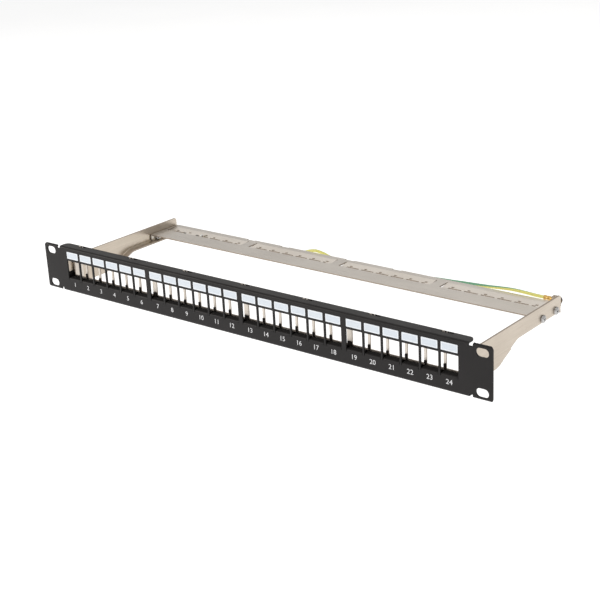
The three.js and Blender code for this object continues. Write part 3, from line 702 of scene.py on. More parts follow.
def flange_place(y):
    """Where a point of the top fold lies in the flat pattern."""
    return PANEL_FOLD.flat(FOLD_START, y - FRONT_FACE)


def panel_holes():
    holes = [port_hole(x) for x, _, _ in PORTS]
    for x, _, _ in PORTS:
        left, right = x - LABEL_HALF_WIDTH, x + LABEL_HALF_WIDTH
        holes.append(rounded_box(left, right, LABEL_BOTTOM, LABEL_TOP, CORNER))
    half_length, half_height = SLOT_LENGTH / 2, SLOT_HEIGHT / 2
    for x in (-SLOT_X, SLOT_X):
        for z in (-SLOT_Z, SLOT_Z):
            sides = (x - half_length, x + half_length, z - half_height, z + half_height)
            holes.append(rounded_box(*sides, half_height - 0.01, 8))
    left, right, front, rear = CLIP_SLOT
    front, rear = flange_place(front), flange_place(rear)
    return holes + [rounded_box(x + left, x + right, front, rear, CORNER) for x in CLIP_PLACES]


def in_a_ledge(vert):
    u, v, _ = vert.co
    near = any(abs(u - x) < LEDGE_HALF_WIDTH + 0.05 for x, _, _ in PORTS)
    return near and LEDGE_START < v < PORT_BOTTOM + 4


def make_front_panel():
    bm = sheet_mesh(panel_outline(), panel_holes(), PANEL_SHEET, 0.16)
    slice_mesh(bm, 1, both_sides(PANEL_FOLD.places(FOLD_START, 8)))
    slice_mesh(bm, 1, LEDGE_FOLD.places(LEDGE_START, 6))
    ledges = [vert for vert in bm.verts if in_a_ledge(vert)]
    fold(ledges, 1, LEDGE_START, 1, 1, LEDGE_FOLD)
    for side in (-1, 1):
        fold(bm.verts, 1, side * FOLD_START, side, 1, PANEL_FOLD)
    place(bm, lambda u, v, w: (u, FRONT_FACE + w, v))
    piece("front_panel_sheet", bm, PAINT, ["front_panel"])


NUMBER_HEIGHT = 4.0
NUMBER_Z = -13.6
NUMBER_STRETCH = 1.04  # width over height, against the font's own
INK_THICKNESS = 0.03


def number_mesh(text):
    """A flat number, its middle at the origin, NUMBER_HEIGHT tall."""
    curve = bpy.data.curves.new("number", "FONT")
    curve.body = text
    curve.align_x = "CENTER"
    curve.resolution_u = 4
    thing = add_object("number", curve)
    bm = to_bmesh(thing)
    discard(thing)
    xs = [vert.co.x for vert in bm.verts]
    ys = [vert.co.y for vert in bm.verts]
    tall = NUMBER_HEIGHT / (max(ys) - min(ys))
    wide = tall * NUMBER_STRETCH
    middle_x, middle_y = (min(xs) + max(xs)) / 2, (min(ys) + max(ys)) / 2
    place(bm, lambda x, y, _: ((x - middle_x) * wide, (y - middle_y) * tall, 0))
    return bm


def make_numbers():
    numbers = []
    for number, (x, _, _) in enumerate(PORTS, 1):
        bm = number_mesh(str(number))
        solid = bmesh.ops.extrude_face_region(bm, geom=bm.faces[:])
        raised = [g for g in solid["geom"] if isinstance(g, bmesh.types.BMVert)]
        bmesh.ops.translate(bm, vec=Vector((0, 0, INK_THICKNESS)), verts=raised)
        place(bm, lambda u, v, w, x=x: (x + u, FRONT_FACE - w, NUMBER_Z + v))
        numbers.append(bm)
    piece("port_numbers", join_meshes(numbers), INK, weighted=False)


# ---------- label strips ----------

STRIP_FRONT = 0.3
PAD_INSET, PAD_REAR = 0.15, 0.6
CARD_INSET, CARD_SHEET, CARD_PROUD = 1.0, 0.3, 0.04


def label_rectangle(x, margin, radius, steps=3):
    """A rectangle in the label window at x, with a margin all round."""
    half = LABEL_HALF_WIDTH - margin
    return rounded_box(x - half, x + half, LABEL_BOTTOM + margin, LABEL_TOP - margin, radius, steps)


def make_label_strip(group):
    low, high = cad_box(f"label_strip_{group + 1}")
    strip = rounded_box(low.x, high.x, low.z, high.z, 0.6, 5)
    pads, cards = [upright_sheet(strip, [], STRIP_FRONT, high.y - STRIP_FRONT)], []
    for x in group_ports(group):
        pad = label_rectangle(x, PAD_INSET, CORNER)
        pads.append(upright_sheet(pad, [], low.y, PAD_REAR - low.y))
        card = label_rectangle(x, PAD_INSET + CARD_INSET, 0.2, 2)
        cards.append(upright_sheet(card, [], low.y - CARD_PROUD, CARD_SHEET, 0.03))
    strip_name = f"label_strip_body_{group + 1}"
    piece(strip_name, join_meshes(pads), LABEL_HOLDER, [f"label_strip_{group + 1}"])
    piece(f"label_cards_{group + 1}", join_meshes(cards), LABEL)


# ---------- ground frame ----------

FRAME_LOW, FRAME_HIGH = cad_box("ground_frame")
FRAME_FRONT, FRAME_SHEET = 6.7, 1.0
FRAME_FOLD = Bend(0.5, FRAME_SHEET)
FRAME_HALF_LENGTH = FRAME_HIGH.x
FRAME_HALF_HEIGHT = -FRAME_LOW.z
FRAME_WINDOW = (-7.75, 7.36, -7.6, 9.6)
FRAME_TAB = (-16.0, 8.6)
FRAME_LIP_START = FRAME_HALF_HEIGHT - FRAME_FOLD.outer
FRAME_LIP_TIP = FRAME_FOLD.flat(FRAME_LIP_START, FRAME_FRONT + FRAME_SHEET - FRAME_LOW.y)
FRAME_TAB_START = FRAME_HALF_LENGTH - FRAME_FOLD.outer
FRAME_TAB_TIP = FRAME_FOLD.flat(FRAME_TAB_START, FRAME_HIGH.y - FRAME_FRONT)
PRONGS = ((-5.0, -2.7), (-1.0, -0.1))  # left and right of each prong, from the slot's middle
PRONG_TOP = FRAME_HIGH.z
PRONG_GAP = 0.3
RIVET_Y, RIVET_Z = 13.0, (5.5, -12.0)


def frame_outline():
    """Right tab, top edge with its prongs in notches, left tab, bottom edge."""
    end = FRAME_TAB_START - 0.4
    low, high = FRAME_TAB
    right = [(end, low - 0.3), (FRAME_TAB_START, low), (FRAME_TAB_TIP, low)]
    right += [(FRAME_TAB_TIP, high), (FRAME_TAB_START, high), (end, high + 0.3)]
    top = [(end, FRAME_LIP_TIP)]
    foot = FRAME_LIP_START - CUT_BACK
    first, last = PRONGS[0][0] - PRONG_GAP, PRONGS[-1][1] + PRONG_GAP
    for x in reversed(CLIP_PLACES):
        top += [(x + last, FRAME_LIP_TIP), (x + last, foot)]
        for a, b in reversed(PRONGS):
            top += [(x + b, foot), (x + b, PRONG_TOP), (x + a, PRONG_TOP), (x + a, foot)]
        top += [(x + first, foot), (x + first, FRAME_LIP_TIP)]
    top += [(-end, FRAME_LIP_TIP)]
    left = [(-x, z) for x, z in reversed(right)]
    return right + top + left + [(-end, -FRAME_LIP_TIP), (end, -FRAME_LIP_TIP)]


def is_prong(vert):
    return any(
        x + left - 0.05 < vert.co.x < x + right + 0.05 for x in CLIP_PLACES for left, right in PRONGS
    ) and FRAME_LIP_START - CUT_BACK - 0.01 <= vert.co.y <= PRONG_TOP + 0.05


def make_ground_frame():
    left, right, low, high = FRAME_WINDOW
    holes = [rounded_box(x + left, x + right, low, high, CORNER) for x, _, _ in PORTS]
    rivet_x = FRAME_FOLD.flat(FRAME_TAB_START, RIVET_Y - FRAME_FRONT)
    holes += [circle(x, z, CLEARANCE_HOLE) for x in (-rivet_x, rivet_x) for z in RIVET_Z]
    bm = sheet_mesh(frame_outline(), holes, FRAME_SHEET, 0.1)
    slice_mesh(bm, 1, both_sides(FRAME_FOLD.places(FRAME_LIP_START)))
    slice_mesh(bm, 0, both_sides(FRAME_FOLD.places(FRAME_TAB_START)))
    prongs = {vert for vert in bm.verts if is_prong(vert)}
    rim = bm.verts.layers.float["rim"]
    for vert in prongs:
        vert[rim] = 0.0  # painted highlight: the prongs' cut edges keep the bright face colour, unlike the other cut edges, so they show as glints
    lip_verts = [vert for vert in bm.verts if vert not in prongs]
    for side in (-1, 1):
        fold(lip_verts, 1, side * FRAME_LIP_START, side, -1, FRAME_FOLD)
        fold(bm.verts, 0, side * FRAME_TAB_START, side, 1, FRAME_FOLD)
    place(bm, lambda u, v, w: (u, FRAME_FRONT + w, v))
    piece("ground_frame_sheet", bm, FRAME_STEEL, ["ground_frame"])


# ---------- latch combs ----------

COMB_FRONT, COMB_SHEET = 5.7, 0.7
COMB_TOP = -8.6
TOOTH_LEFT, TOOTH_RIGHT = -9.75, -7.25
NECK_HALF = 0.65
NECK_TOP = -7.3
TOOTH_TOPS = (-4.9, -3.6)  # odd ports, even ports
CHEEK_SHEET, CHEEK_CORNER = 0.8, 0.3


def tooth_outline(x, top):
    """The outline of a necked tooth to the left of the port at x, from right to left."""
    left, right = x + TOOTH_LEFT, x + TOOTH_RIGHT
    neck_left, neck_right = (left + right) / 2 - NECK_HALF, (left + right) / 2 + NECK_HALF
    head = [(right, NECK_TOP + 0.3), *rounded_top(left, right, top, 0.4), (left, NECK_TOP + 0.3)]
    root = [(neck_right, COMB_TOP), (neck_right, NECK_TOP)]
    return root + head + [(neck_left, NECK_TOP), (neck_left, COMB_TOP)]


def make_comb(group):
    """A comb has a wide plain tooth at its left end, then a necked one for each other port."""
    low, high = cad_box(f"latch_comb_{group + 1}")
    ports = group_ports(group)
    outline = [(low.x, low.z), (high.x, low.z), (high.x, COMB_TOP)]
    for index in range(PER_GROUP - 1, 0, -1):
        outline += tooth_outline(ports[index], TOOTH_TOPS[index % 2])
    wide_right = ports[0] + TOOTH_RIGHT
    outline += [(wide_right, COMB_TOP), *rounded_top(low.x, wide_right, TOOTH_TOPS[0], 0.3)]
    parts = [upright_sheet(outline, [], COMB_FRONT, COMB_SHEET, 0.08)]
    if group == 0:
        cheek = rounded_box(low.y, high.y, low.z, TOOTH_TOPS[1], CHEEK_CORNER)
        side = sheet_mesh(cheek, [], CHEEK_SHEET, 0.08)
        place(side, lambda u, v, w: (low.x + w, u, v))
        parts.append(side)
    name = f"latch_comb_sheet_{group + 1}"
    piece(name, join_meshes(parts), BLACK_STEEL, [f"latch_comb_{group + 1}"])


# ---------- side brackets ----------

BRACKET_OUTER, BRACKET_SHEET = 216.2, 1.5
BRACKET_INNER = BRACKET_OUTER - BRACKET_SHEET
BRACKET_FRONT = 0.3
BRACKET_REAR = 147.0
BRACKET_TOP = cad_box("bracket_left")[1].z
BRACKET_REAR_BOTTOM, BRACKET_FRONT_BOTTOM = -5.2, -18.2
BRACKET_CORNER = 2.5
BRACKET_FOLD = Bend(0.5, BRACKET_SHEET)
FOOT_REACH = 8.0
FOOT_BOTTOM, FOOT_TOP = -16.5, 9.3
FOOT_START = BRACKET_FRONT + BRACKET_FOLD.outer
FOOT_TIP = BRACKET_FOLD.flat(FOOT_START, BRACKET_SHEET + FOOT_REACH, -1)
LIP_REACH = 6.3
LIP_FRONT, LIP_REAR = 68.0, 146.0
KINK_Y, GUSSET_Y = 79.0, 47.0
STUD_X, STUD_Z = 220.4, (4.5, -11.5)
BAR_SCREW_Y, BAR_SCREW_Z = (117.0, 138.5), -0.75
CLEARANCE_HOLE = 1.8


def curve_through(a, control, b, steps=6):
    """A quadratic curve, without its first point."""
    points = []
    for i in range(1, steps + 1):
        t = i / steps
        weights = ((1 - t) ** 2, 2 * t * (1 - t), t * t)
        points.append(tuple(sum(w * v for w, v in zip(weights, values)) for values in zip(a, control, b)))
    return points


def lower_edge():
    """The bracket's lower edge from the front to the rear, as (y, z) points."""
    gusset, kink = BRACKET_FRONT_BOTTOM, BRACKET_REAR_BOTTOM
    points = [(FOOT_START, gusset), (GUSSET_Y - 3, gusset)]
    points += curve_through(points[-1], (GUSSET_Y + 4, gusset), (GUSSET_Y + 10, gusset + 4))
    (start_y, start_z), (end_y, end_z) = points[-1], (KINK_Y - 2.5, kink - 1)
    slope = (end_z - start_z) / (end_y - start_y)
    points += [(LIP_FRONT, start_z + slope * (LIP_FRONT - start_y)), (end_y, end_z)]
    points += curve_through((end_y, end_z), (KINK_Y, kink), (KINK_Y + 3, kink))
    return points + [(LIP_REAR, kink), (BRACKET_REAR, kink)]


EDGE = lower_edge()


def edge_height(y):
    """Height of the lower edge where the lip hangs on it."""
    y = max(y, LIP_FRONT)
    for (y0, z0), (y1, z1) in zip(EDGE, EDGE[1:]):
        if y0 <= y <= y1 and y1 > y0:
            return z0 + (z1 - z0) * (y - y0) / (y1 - y0)
    return EDGE[-1][1]


def straightened(y, z):
    return (y, z - edge_height(y))


LIP_START = BRACKET_FOLD.outer  # above the lower edge, where the lip's bend begins
LIP_TIP = BRACKET_FOLD.flat(LIP_START, BRACKET_SHEET + LIP_REACH, -1)
LIP_CORNER = 4.0
RELIEF = 0.6


def lip_outline(stations):
    """The lip from its front relief cut to its rear one."""
    relief = LIP_START + 0.2
    front = LIP_FRONT + RELIEF
    points = [(LIP_FRONT, relief), (front, relief)]
    points += arc(front + LIP_CORNER, LIP_TIP + LIP_CORNER, LIP_CORNER, 2, 3, 4)
    points += [(y, LIP_TIP) for y in stations if y > front + LIP_CORNER + 0.1]
    points += arc(LIP_REAR - 1.5, LIP_TIP + 1.5, 1.5, 3, 4, 3)
    rear = (BRACKET_REAR + LIP_REAR) / 2
    return points + [(LIP_REAR, relief), (rear, relief), (rear, 0), (BRACKET_REAR, 0)]


def bracket_outline(stations):
    """The bracket's flat pattern: foot, gusset, lip, rear end and top edge."""
    near = FOOT_START - CUT_BACK
    points = [(FOOT_TIP, FOOT_BOTTOM), (near, FOOT_BOTTOM), (near, FOOT_BOTTOM - 0.5)]
    points += [p for p in EDGE if p[0] <= LIP_FRONT]
    outline = [straightened(*p) for p in points] + lip_outline(stations)
    top = BRACKET_TOP - edge_height(BRACKET_REAR)
    outline += arc(BRACKET_REAR - BRACKET_CORNER, top - BRACKET_CORNER, BRACKET_CORNER, 0, 1)
    points = [(y, BRACKET_TOP) for y in reversed(stations)] + [(LIP_FRONT, BRACKET_TOP)]
    points += [(FOOT_START, BRACKET_TOP), (near, FOOT_TOP), (FOOT_TIP, FOOT_TOP)]
    return outline + [straightened(*p) for p in points]


def bracket_holes():
    stud_y = BRACKET_FOLD.flat(FOOT_START, STUD_X - BRACKET_INNER, -1)
    places = [(stud_y, z) for z in STUD_Z] + [(y, BAR_SCREW_Z) for y in BAR_SCREW_Y]
    places += [(RIVET_Y, z) for z in RIVET_Z]
    return [circle(*straightened(y, z), CLEARANCE_HOLE) for y, z in places]


def make_bracket(side):
    """side is 1 for the right bracket. In its flat pattern u is Y, v is the height over the
    lower edge and w runs outwards from the inner face."""
    name = "right" if side > 0 else "left"
    stations = [y for y, _ in EDGE if LIP_FRONT < y < LIP_REAR]
    bm = sheet_mesh(bracket_outline(stations), bracket_holes(), BRACKET_SHEET, 0.14)
    slice_mesh(bm, 1, BRACKET_FOLD.places(LIP_START, side=-1))
    slice_mesh(bm, 0, [LIP_FRONT, *stations, *BRACKET_FOLD.places(FOOT_START, side=-1)])
    middle = LIP_FRONT + RELIEF / 2
    lip = [v for v in bm.verts if middle < v.co.x < LIP_REAR + 0.2 and v.co.y < LIP_START]
    fold(lip, 1, LIP_START, -1, -1, BRACKET_FOLD)
    for vert in bm.verts:
        vert.co.y += edge_height(vert.co.x)
    fold(bm.verts, 0, FOOT_START, -1, 1, BRACKET_FOLD)
    place(bm, lambda u, v, w: (side * (BRACKET_INNER + w), u, v))
    parts = [bm, make_ear()] if side > 0 else [bm]
    piece(f"bracket_sheet_{name}", join_meshes(parts), BRACKET_STEEL, [f"bracket_{name}"])


EAR_LEFT, EAR_BOTTOM, EAR_TOP, EAR_SHEET = 207.9, -0.6, 8.4, 1.3
EARTH_X, EARTH_Z = 212.3, 3.9


def make_ear():
    """The small ear, bent inwards at the rear of the right bracket, for the ground screw."""
    right, chamfer_x = BRACKET_OUTER - 0.3, BRACKET_OUTER - 1.2
    outline = arc(EAR_LEFT + 2, EAR_TOP - 2, 2, 1, 2) + arc(EAR_LEFT + 2, EAR_BOTTOM + 2, 2, 2, 3)
    outline += [(chamfer_x, EAR_BOTTOM), (right, EAR_BOTTOM + 0.6)]
    outline += [(right, EAR_TOP - 0.6), (chamfer_x, EAR_TOP)]
    overlap = 0.3  # of the ear into the bracket's rear end
    hole = circle(EARTH_X, EARTH_Z, 1.7)
    return upright_sheet(outline, [hole], BRACKET_REAR - overlap, EAR_SHEET + overlap)


# ---------- cable bar ----------

BAR_TOP, BAR_SHEET = 3.4, 1.2
BAR_FRONT, BAR_REAR = 108.5, 146.5
BAR_HALF_LENGTH = cad_box("cable_bar")[1].x
BAR_TAB_BOTTOM = -3.6
BAR_FOLD = Bend(0.5, BAR_SHEET)
BAR_TAB_START = BAR_HALF_LENGTH - BAR_FOLD.outer
BAR_TAB_TIP = BAR_FOLD.flat(BAR_TAB_START, BAR_TOP - BAR_TAB_BOTTOM)
WINDOW_START, WINDOW_LENGTH = -210.2, 97.2
WINDOW_FRONT, WINDOW_REAR = 128.3, 140.8
WINDOW_SLIT = 0.9
FLAP_DROP = 1.65
FLAP_FOLD = Bend(3.0, BAR_SHEET)
TIE_START, TIE_PITCH = -200.1, 16.05
REAR_TIE = (-1.3, 1.3, 133.1, 134.9)  # left and right from its middle, front and rear
FRONT_TIE = (-3.4, 9.6, 130.9, 132.5)
LAST_FRONT_TIE = (-3.4, -0.2, 130.9, 132.5)  # at the last port of each group
BOND_HOLE = (-163.4, 134.4, 1.9)
HOOKS = (56, 4, -72, -114)
HOOK_HALF = 4.0
HOOK_STARTS = (144.8, 150.928, 157.156)  # along the flat pattern, where its three bends begin
HOOK_TIP = 160.58


def bar_outline():
    """The right tab, the rear edge with its hooks, the left tab and the front edge."""
    shoulder = BAR_TAB_START - 0.3
    right = [(shoulder, BAR_FRONT), (BAR_TAB_START, BAR_FRONT + 0.5)]
    right += arc(BAR_TAB_TIP - 2, BAR_FRONT + 2.5, 2, -1, 0, 4)
    right += arc(BAR_TAB_TIP - 2, BAR_REAR - 2.5, 2, 0, 1, 4)
    right += [(BAR_TAB_START, BAR_REAR - 0.5), (shoulder, BAR_REAR)]
    foot = HOOK_STARTS[0] - 0.4
    rear = []
    for x in HOOKS:
        a, b = x - HOOK_HALF, x + HOOK_HALF
        rear += [(b + 0.5, BAR_REAR), (b + 0.5, foot), (b, foot), *rounded_top(a, b, HOOK_TIP, 1)]
        rear += [(a, foot), (a - 0.5, foot), (a - 0.5, BAR_REAR)]
    left = [(-x, y) for x, y in reversed(right)]
    return right + rear + left


def flap_slit(left, right):
    """A U-shaped slit, open towards the rear, that frees a flap."""
    a, b = left + WINDOW_SLIT, right - WINDOW_SLIT
    front = WINDOW_FRONT + WINDOW_SLIT
    outer = [(left, WINDOW_REAR), (left, WINDOW_FRONT), (right, WINDOW_FRONT), (right, WINDOW_REAR)]
    return outer + [(b, WINDOW_REAR), (b, front), (a, front), (a, WINDOW_REAR)]


def bar_holes():
    holes = [circle(*BOND_HOLE, 28)]
    for group in range(GROUPS):
        left = WINDOW_START + group * GROUP_PITCH
        holes.append(flap_slit(left, left + WINDOW_LENGTH))
        for index in range(PER_GROUP):
            x = TIE_START + group * GROUP_PITCH + index * TIE_PITCH
            last = index == PER_GROUP - 1
            for a, b, front, rear in (REAR_TIE, LAST_FRONT_TIE if last else FRONT_TIE):
                holes.append(rounded_box(x + a, x + b, front, rear, 0.3))
    screw_x = BAR_FOLD.flat(BAR_TAB_START, BAR_TOP - BAR_SCREW_Z)
    return holes + [circle(x, y, CLEARANCE_HOLE) for x in (-screw_x, screw_x) for y in BAR_SCREW_Y]


def make_cable_bar():
    """In the flat pattern u is X, v is Y and w runs down from the top face."""
    bm = sheet_mesh(bar_outline(), bar_holes(), BAR_SHEET, 0.12)
    turn = math.asin(FLAP_DROP / (WINDOW_REAR - WINDOW_FRONT))
    hinge = WINDOW_REAR - 0.2
    slice_mesh(bm, 1, FLAP_FOLD.places(hinge, 3, -1, turn))
    for start in HOOK_STARTS:
        slice_mesh(bm, 1, BAR_FOLD.places(start))
    slice_mesh(bm, 0, both_sides(BAR_FOLD.places(BAR_TAB_START)))
    front, span = WINDOW_FRONT + WINDOW_SLIT / 2, WINDOW_LENGTH - WINDOW_SLIT
    lefts = [WINDOW_START + group * GROUP_PITCH + WINDOW_SLIT / 2 for group in range(GROUPS)]
    rows = [v for v in bm.verts if front < v.co.y < hinge]
    flaps = [v for v in rows if any(left < v.co.x < left + span for left in lefts)]
    fold(flaps, 1, hinge, -1, 1, FLAP_FOLD, turn)
    behind = [v for v in bm.verts if v.co.y > HOOK_STARTS[0]]
    hooks = [v for v in behind if any(abs(v.co.x - x) < HOOK_HALF + 0.1 for x in HOOKS)]
    for start, towards in zip(reversed(HOOK_STARTS), (-1, -1, 1)):
        fold(hooks, 1, start, 1, towards, BAR_FOLD)
    for side in (-1, 1):
        fold(bm.verts, 0, side * BAR_TAB_START, side, 1, BAR_FOLD)
    place(bm, lambda u, v, w: (u, v, BAR_TOP - w))
    piece("cable_bar_sheet", bm, GALVANISED, ["cable_bar"])


# ---------- fasteners ----------

HEAD_RADIUS, HEAD_HEIGHT = 3.3, 2.1
THREAD_RADIUS, THREAD_PITCH, THREAD_DEPTH = 1.5, 0.5, 0.16
NUT_FLATS, NUT_HEIGHT, NUT_BORE = 5.5, 2.4, 1.62
BAR_SCREW_SHANK, EARTH_SHANK, STUD_LENGTH = 7.6, 3.2, 6.5
SEAT_GAP, SCREW_GAP = 0.1, 0.05  # between a part and the nut or rivet, or the screw, on it


def lathe(profile, sides=32):
    """Turns a profile of (radius, height) pairs about +w. Ends on the axis are closed."""
    bm = bmesh.new()
    rings = []
    for radius, height in profile:
        points = circle(0, 0, radius, sides) if radius > 0 else [(0, 0)]
        rings.append([bm.verts.new((u, v, height)) for u, v in points])
    skin(bm, rings)
    return bm


def aim(bm, position, direction):
    """Turns +w into the direction and moves the origin to the position."""
    turn = Vector((0, 0, 1)).rotation_difference(Vector(direction)).to_matrix().to_4x4()
    bmesh.ops.transform(bm, matrix=Matrix.Translation(Vector(position)) @ turn, verts=bm.verts)
    return bm


def thread(start, stop):
    """A threaded shank's profile from start up to stop, with a small lead chamfer."""
    profile = [(0, start), (THREAD_RADIUS - 0.4, start)]
    height = start + 0.3
    while height + THREAD_PITCH < stop:
        profile += [(THREAD_RADIUS, height), (THREAD_RADIUS - THREAD_DEPTH, height + THREAD_PITCH / 2)]
        height += THREAD_PITCH
    return profile + [(THREAD_RADIUS, stop - 0.05)]


def subtract(bm, cutter):
    """Cuts one closed mesh out of another."""
    things = []
    for part in (bm, cutter):
        bmesh.ops.recalc_face_normals(part, faces=part.faces)
        things.append(add_object("boolean", to_mesh("boolean", part)))
    modifier = things[0].modifiers.new("cut", "BOOLEAN")
    modifier.object = things[1]
    modifier.solver = "EXACT"
    result = to_bmesh(things[0])
    for thing in things:
        discard(thing)
    return result


def cross_recess(depth):
    """A tapered cross, its tip below the head's top."""
    arm, width, tip = 1.75, 0.55, 0.45
    outline = [(arm, -width), (arm, width), (width, width), (width, arm), (-width, arm), (-width, width)]
    outline += [(-x, -y) for x, y in outline]
    bm = bmesh.new()
    low = [bm.verts.new((x * tip, y * tip, HEAD_HEIGHT - depth)) for x, y in outline]
    high = [bm.verts.new((x, y, HEAD_HEIGHT + 0.5)) for x, y in outline]
    skin(bm, [low, high], caps=True)
    return bm


def screw_mesh(shank, position, direction):
    """A cross-recessed pan head on a threaded shank. The position is under the head."""
    dome = ((1, 0.42), (0.97, 0.6), (0.88, 0.78), (0.7, 0.92), (0.45, 0.985), (0, 1))
    head = [(HEAD_RADIUS - 0.12, 0), (HEAD_RADIUS, 0.12)]
    head += [(HEAD_RADIUS * r, HEAD_HEIGHT * h) for r, h in dome]
    bm = lathe(thread(-shank, 0) + head, 36)
    return aim(subtract(bm, cross_recess(1.5)), position, direction)


def nut_mesh(position, direction, bevel=0.14):
    """A hexagon nut with chamfered corners and a countersunk bore."""
    bm = bmesh.new()
    steps = 48
    round_radius = NUT_FLATS / 2 * 0.97
    rings = [[] for _ in range(8)]
    for k in range(steps):
        angle = 2 * math.pi * (k + 0.5) / steps
        within = (angle + math.pi / 6) % (math.pi / 3) - math.pi / 6
        hexagon = NUT_FLATS / 2 / math.cos(within)
        drop = (hexagon - round_radius) * math.tan(math.radians(30))
        below = [(NUT_BORE, bevel), (NUT_BORE + bevel, 0), (round_radius, 0), (hexagon, drop)]
        section = below + [(radius, NUT_HEIGHT - height) for radius, height in reversed(below)]
        for ring, (radius, height) in zip(rings, section):
            ring.append(bm.verts.new((radius * math.cos(angle), radius * math.sin(angle), height)))
    skin(bm, rings, closed=True)
    return aim(bm, position, direction)


def rivet_mesh(position, direction, grip):
    """A domed rivet with its upset tail."""
    shank, head = 1.6, 2.6
    profile = [
        (0, -grip - 1.2), (head * 0.55, -grip - 1.15), (head * 0.76, -grip - 0.8), (head * 0.8, -grip - 0.15),
        (shank, -grip - 0.1), (shank, -0.02), (head - 0.1, 0), (head, 0.12), (head * 0.93, 0.45),
        (head * 0.75, 0.78), (head * 0.45, 1.0), (0, 1.1),
    ]
    return aim(lathe(profile, 28), position, direction)


def make_fasteners():
    grip = BRACKET_OUTER + SEAT_GAP - (FRAME_HALF_LENGTH - FRAME_SHEET)
    stud_nut_y = BRACKET_FRONT + BRACKET_SHEET + SEAT_GAP
    for side, name in ((-1, "left"), (1, "right")):
        outwards, inwards = (side, 0, 0), (-side, 0, 0)
        screw_x = side * (BRACKET_OUTER + SCREW_GAP)
        nut_x = side * (BAR_HALF_LENGTH - BAR_SHEET - SEAT_GAP)
        rivet_x = side * (BRACKET_OUTER + SEAT_GAP)

        def add(kind, node, bm, smooth=30.0):
            end = f"{name}_{where}"
            piece(f"{kind}_{end}", bm, ZINC, [f"{node}_{end}"], smooth)

        for y, where in zip(BAR_SCREW_Y, ("front", "rear")):
            add("pan_screw", "bar_screw", screw_mesh(BAR_SCREW_SHANK, (screw_x, y, BAR_SCREW_Z), outwards), 40)
            add("hex_nut", "bar_nut", nut_mesh((nut_x, y, BAR_SCREW_Z), inwards))
        for z, where in zip(STUD_Z, ("upper", "lower")):
            stud = lathe(thread(-STUD_LENGTH, 0) + [(THREAD_RADIUS, 0), (0, 0)], 24)
            add("stud", "panel_stud", aim(stud, (side * STUD_X, 0, z), (0, -1, 0)))
            add("stud_hex_nut", "stud_nut", nut_mesh((side * STUD_X, stud_nut_y, z), (0, 1, 0)))
        for z, where in zip(RIVET_Z, ("upper", "lower")):
            add("rivet", "frame_rivet", rivet_mesh((rivet_x, RIVET_Y, z), outwards, grip), 40)


# ---------- terminals, washer and tie ----------

RING_OUTER, RING_BORE, RING_SHEET = 3.4, 1.7, 0.8
BARREL_RADIUS, BARREL_LENGTH = 1.9, 8.6
BARREL_START = RING_OUTER + 0.8  # from the ring's middle


def barrel_mesh():
    """A crimped barrel along +u with two crimp dents, open where the wire goes in."""
    outer = [(0.0, 0.92), (0.04, 1.0), (0.2, 1.0), (0.26, 0.86), (0.34, 0.86), (0.4, 1.0), (0.6, 1.0),
             (0.66, 0.88), (0.74, 0.88), (0.8, 1.0), (0.96, 1.06), (1.0, 1.04)]
    profile = [(0, 0)] + [(BARREL_RADIUS * r, BARREL_LENGTH * t) for t, r in outer]
    bore, floor = WIRE_DIAMETER / 2 + 0.05, BARREL_LENGTH - 2.5
    profile += [(bore + 0.15, BARREL_LENGTH), (bore, BARREL_LENGTH - 0.2), (bore, floor), (0, floor)]
    return lathe(profile)


def neck_mesh(ring_y, barrel_y):
    """The strip between ring and barrel, which widens from flat to round."""
    bm = bmesh.new()
    start, stop = RING_OUTER * 0.72, BARREL_START + 0.4
    round_half, flat_half = BARREL_RADIUS * 0.95, RING_SHEET / 2
    sides, steps = 24, 6
    rings = []
    for i in range(steps + 1):
        share = i / steps
        eased = ease(share)
        half_wide = 2.3 + (round_half - 2.3) * eased
        half_thick = flat_half + (round_half - flat_half) * eased
        u = -(start + (stop - start) * share)
        y = ring_y + (barrel_y - ring_y) * eased
        power = 0.35 + 0.65 * eased
        ring = []
        for k in range(sides):
            c, s = math.cos(2 * math.pi * k / sides), math.sin(2 * math.pi * k / sides)
            thick, wide = math.copysign(abs(c) ** power, c), math.copysign(abs(s) ** power, s)
            ring.append(bm.verts.new((u, y + half_thick * thick, half_wide * wide)))
        rings.append(ring)
    skin(bm, rings, caps=True)
    return bm


def make_terminal(end, x, z, ring_front, barrel_y):
    ring = sheet_mesh(circle(0, 0, RING_OUTER, 40), [circle(0, 0, RING_BORE, 32)], RING_SHEET, 0.1)
    place(ring, lambda u, v, w: (u, ring_front + w, v))
    neck = neck_mesh(ring_front + RING_SHEET / 2, barrel_y)
    barrel = aim(barrel_mesh(), (-BARREL_START, barrel_y, 0), (-1, 0, 0))
    whole = join_meshes([ring, neck, barrel])
    place(whole, lambda u, v, w: (x + u, v, z + w))
    return piece(f"crimp_terminal_{end}", whole, BRASS, [f"ring_terminal_{end}"], 40)


def make_terminals():
    far_x, far_y = FAR_HIGH.x - RING_OUTER, HANK_Y - HANK_FOLD
    near = make_terminal("near", EARTH_X, EARTH_Z, NEAR_LOW.y, WIRE_EXIT[1])
    far = make_terminal("far", far_x, HANK_LOWER, far_y - RING_SHEET / 2, far_y)
    return near, far


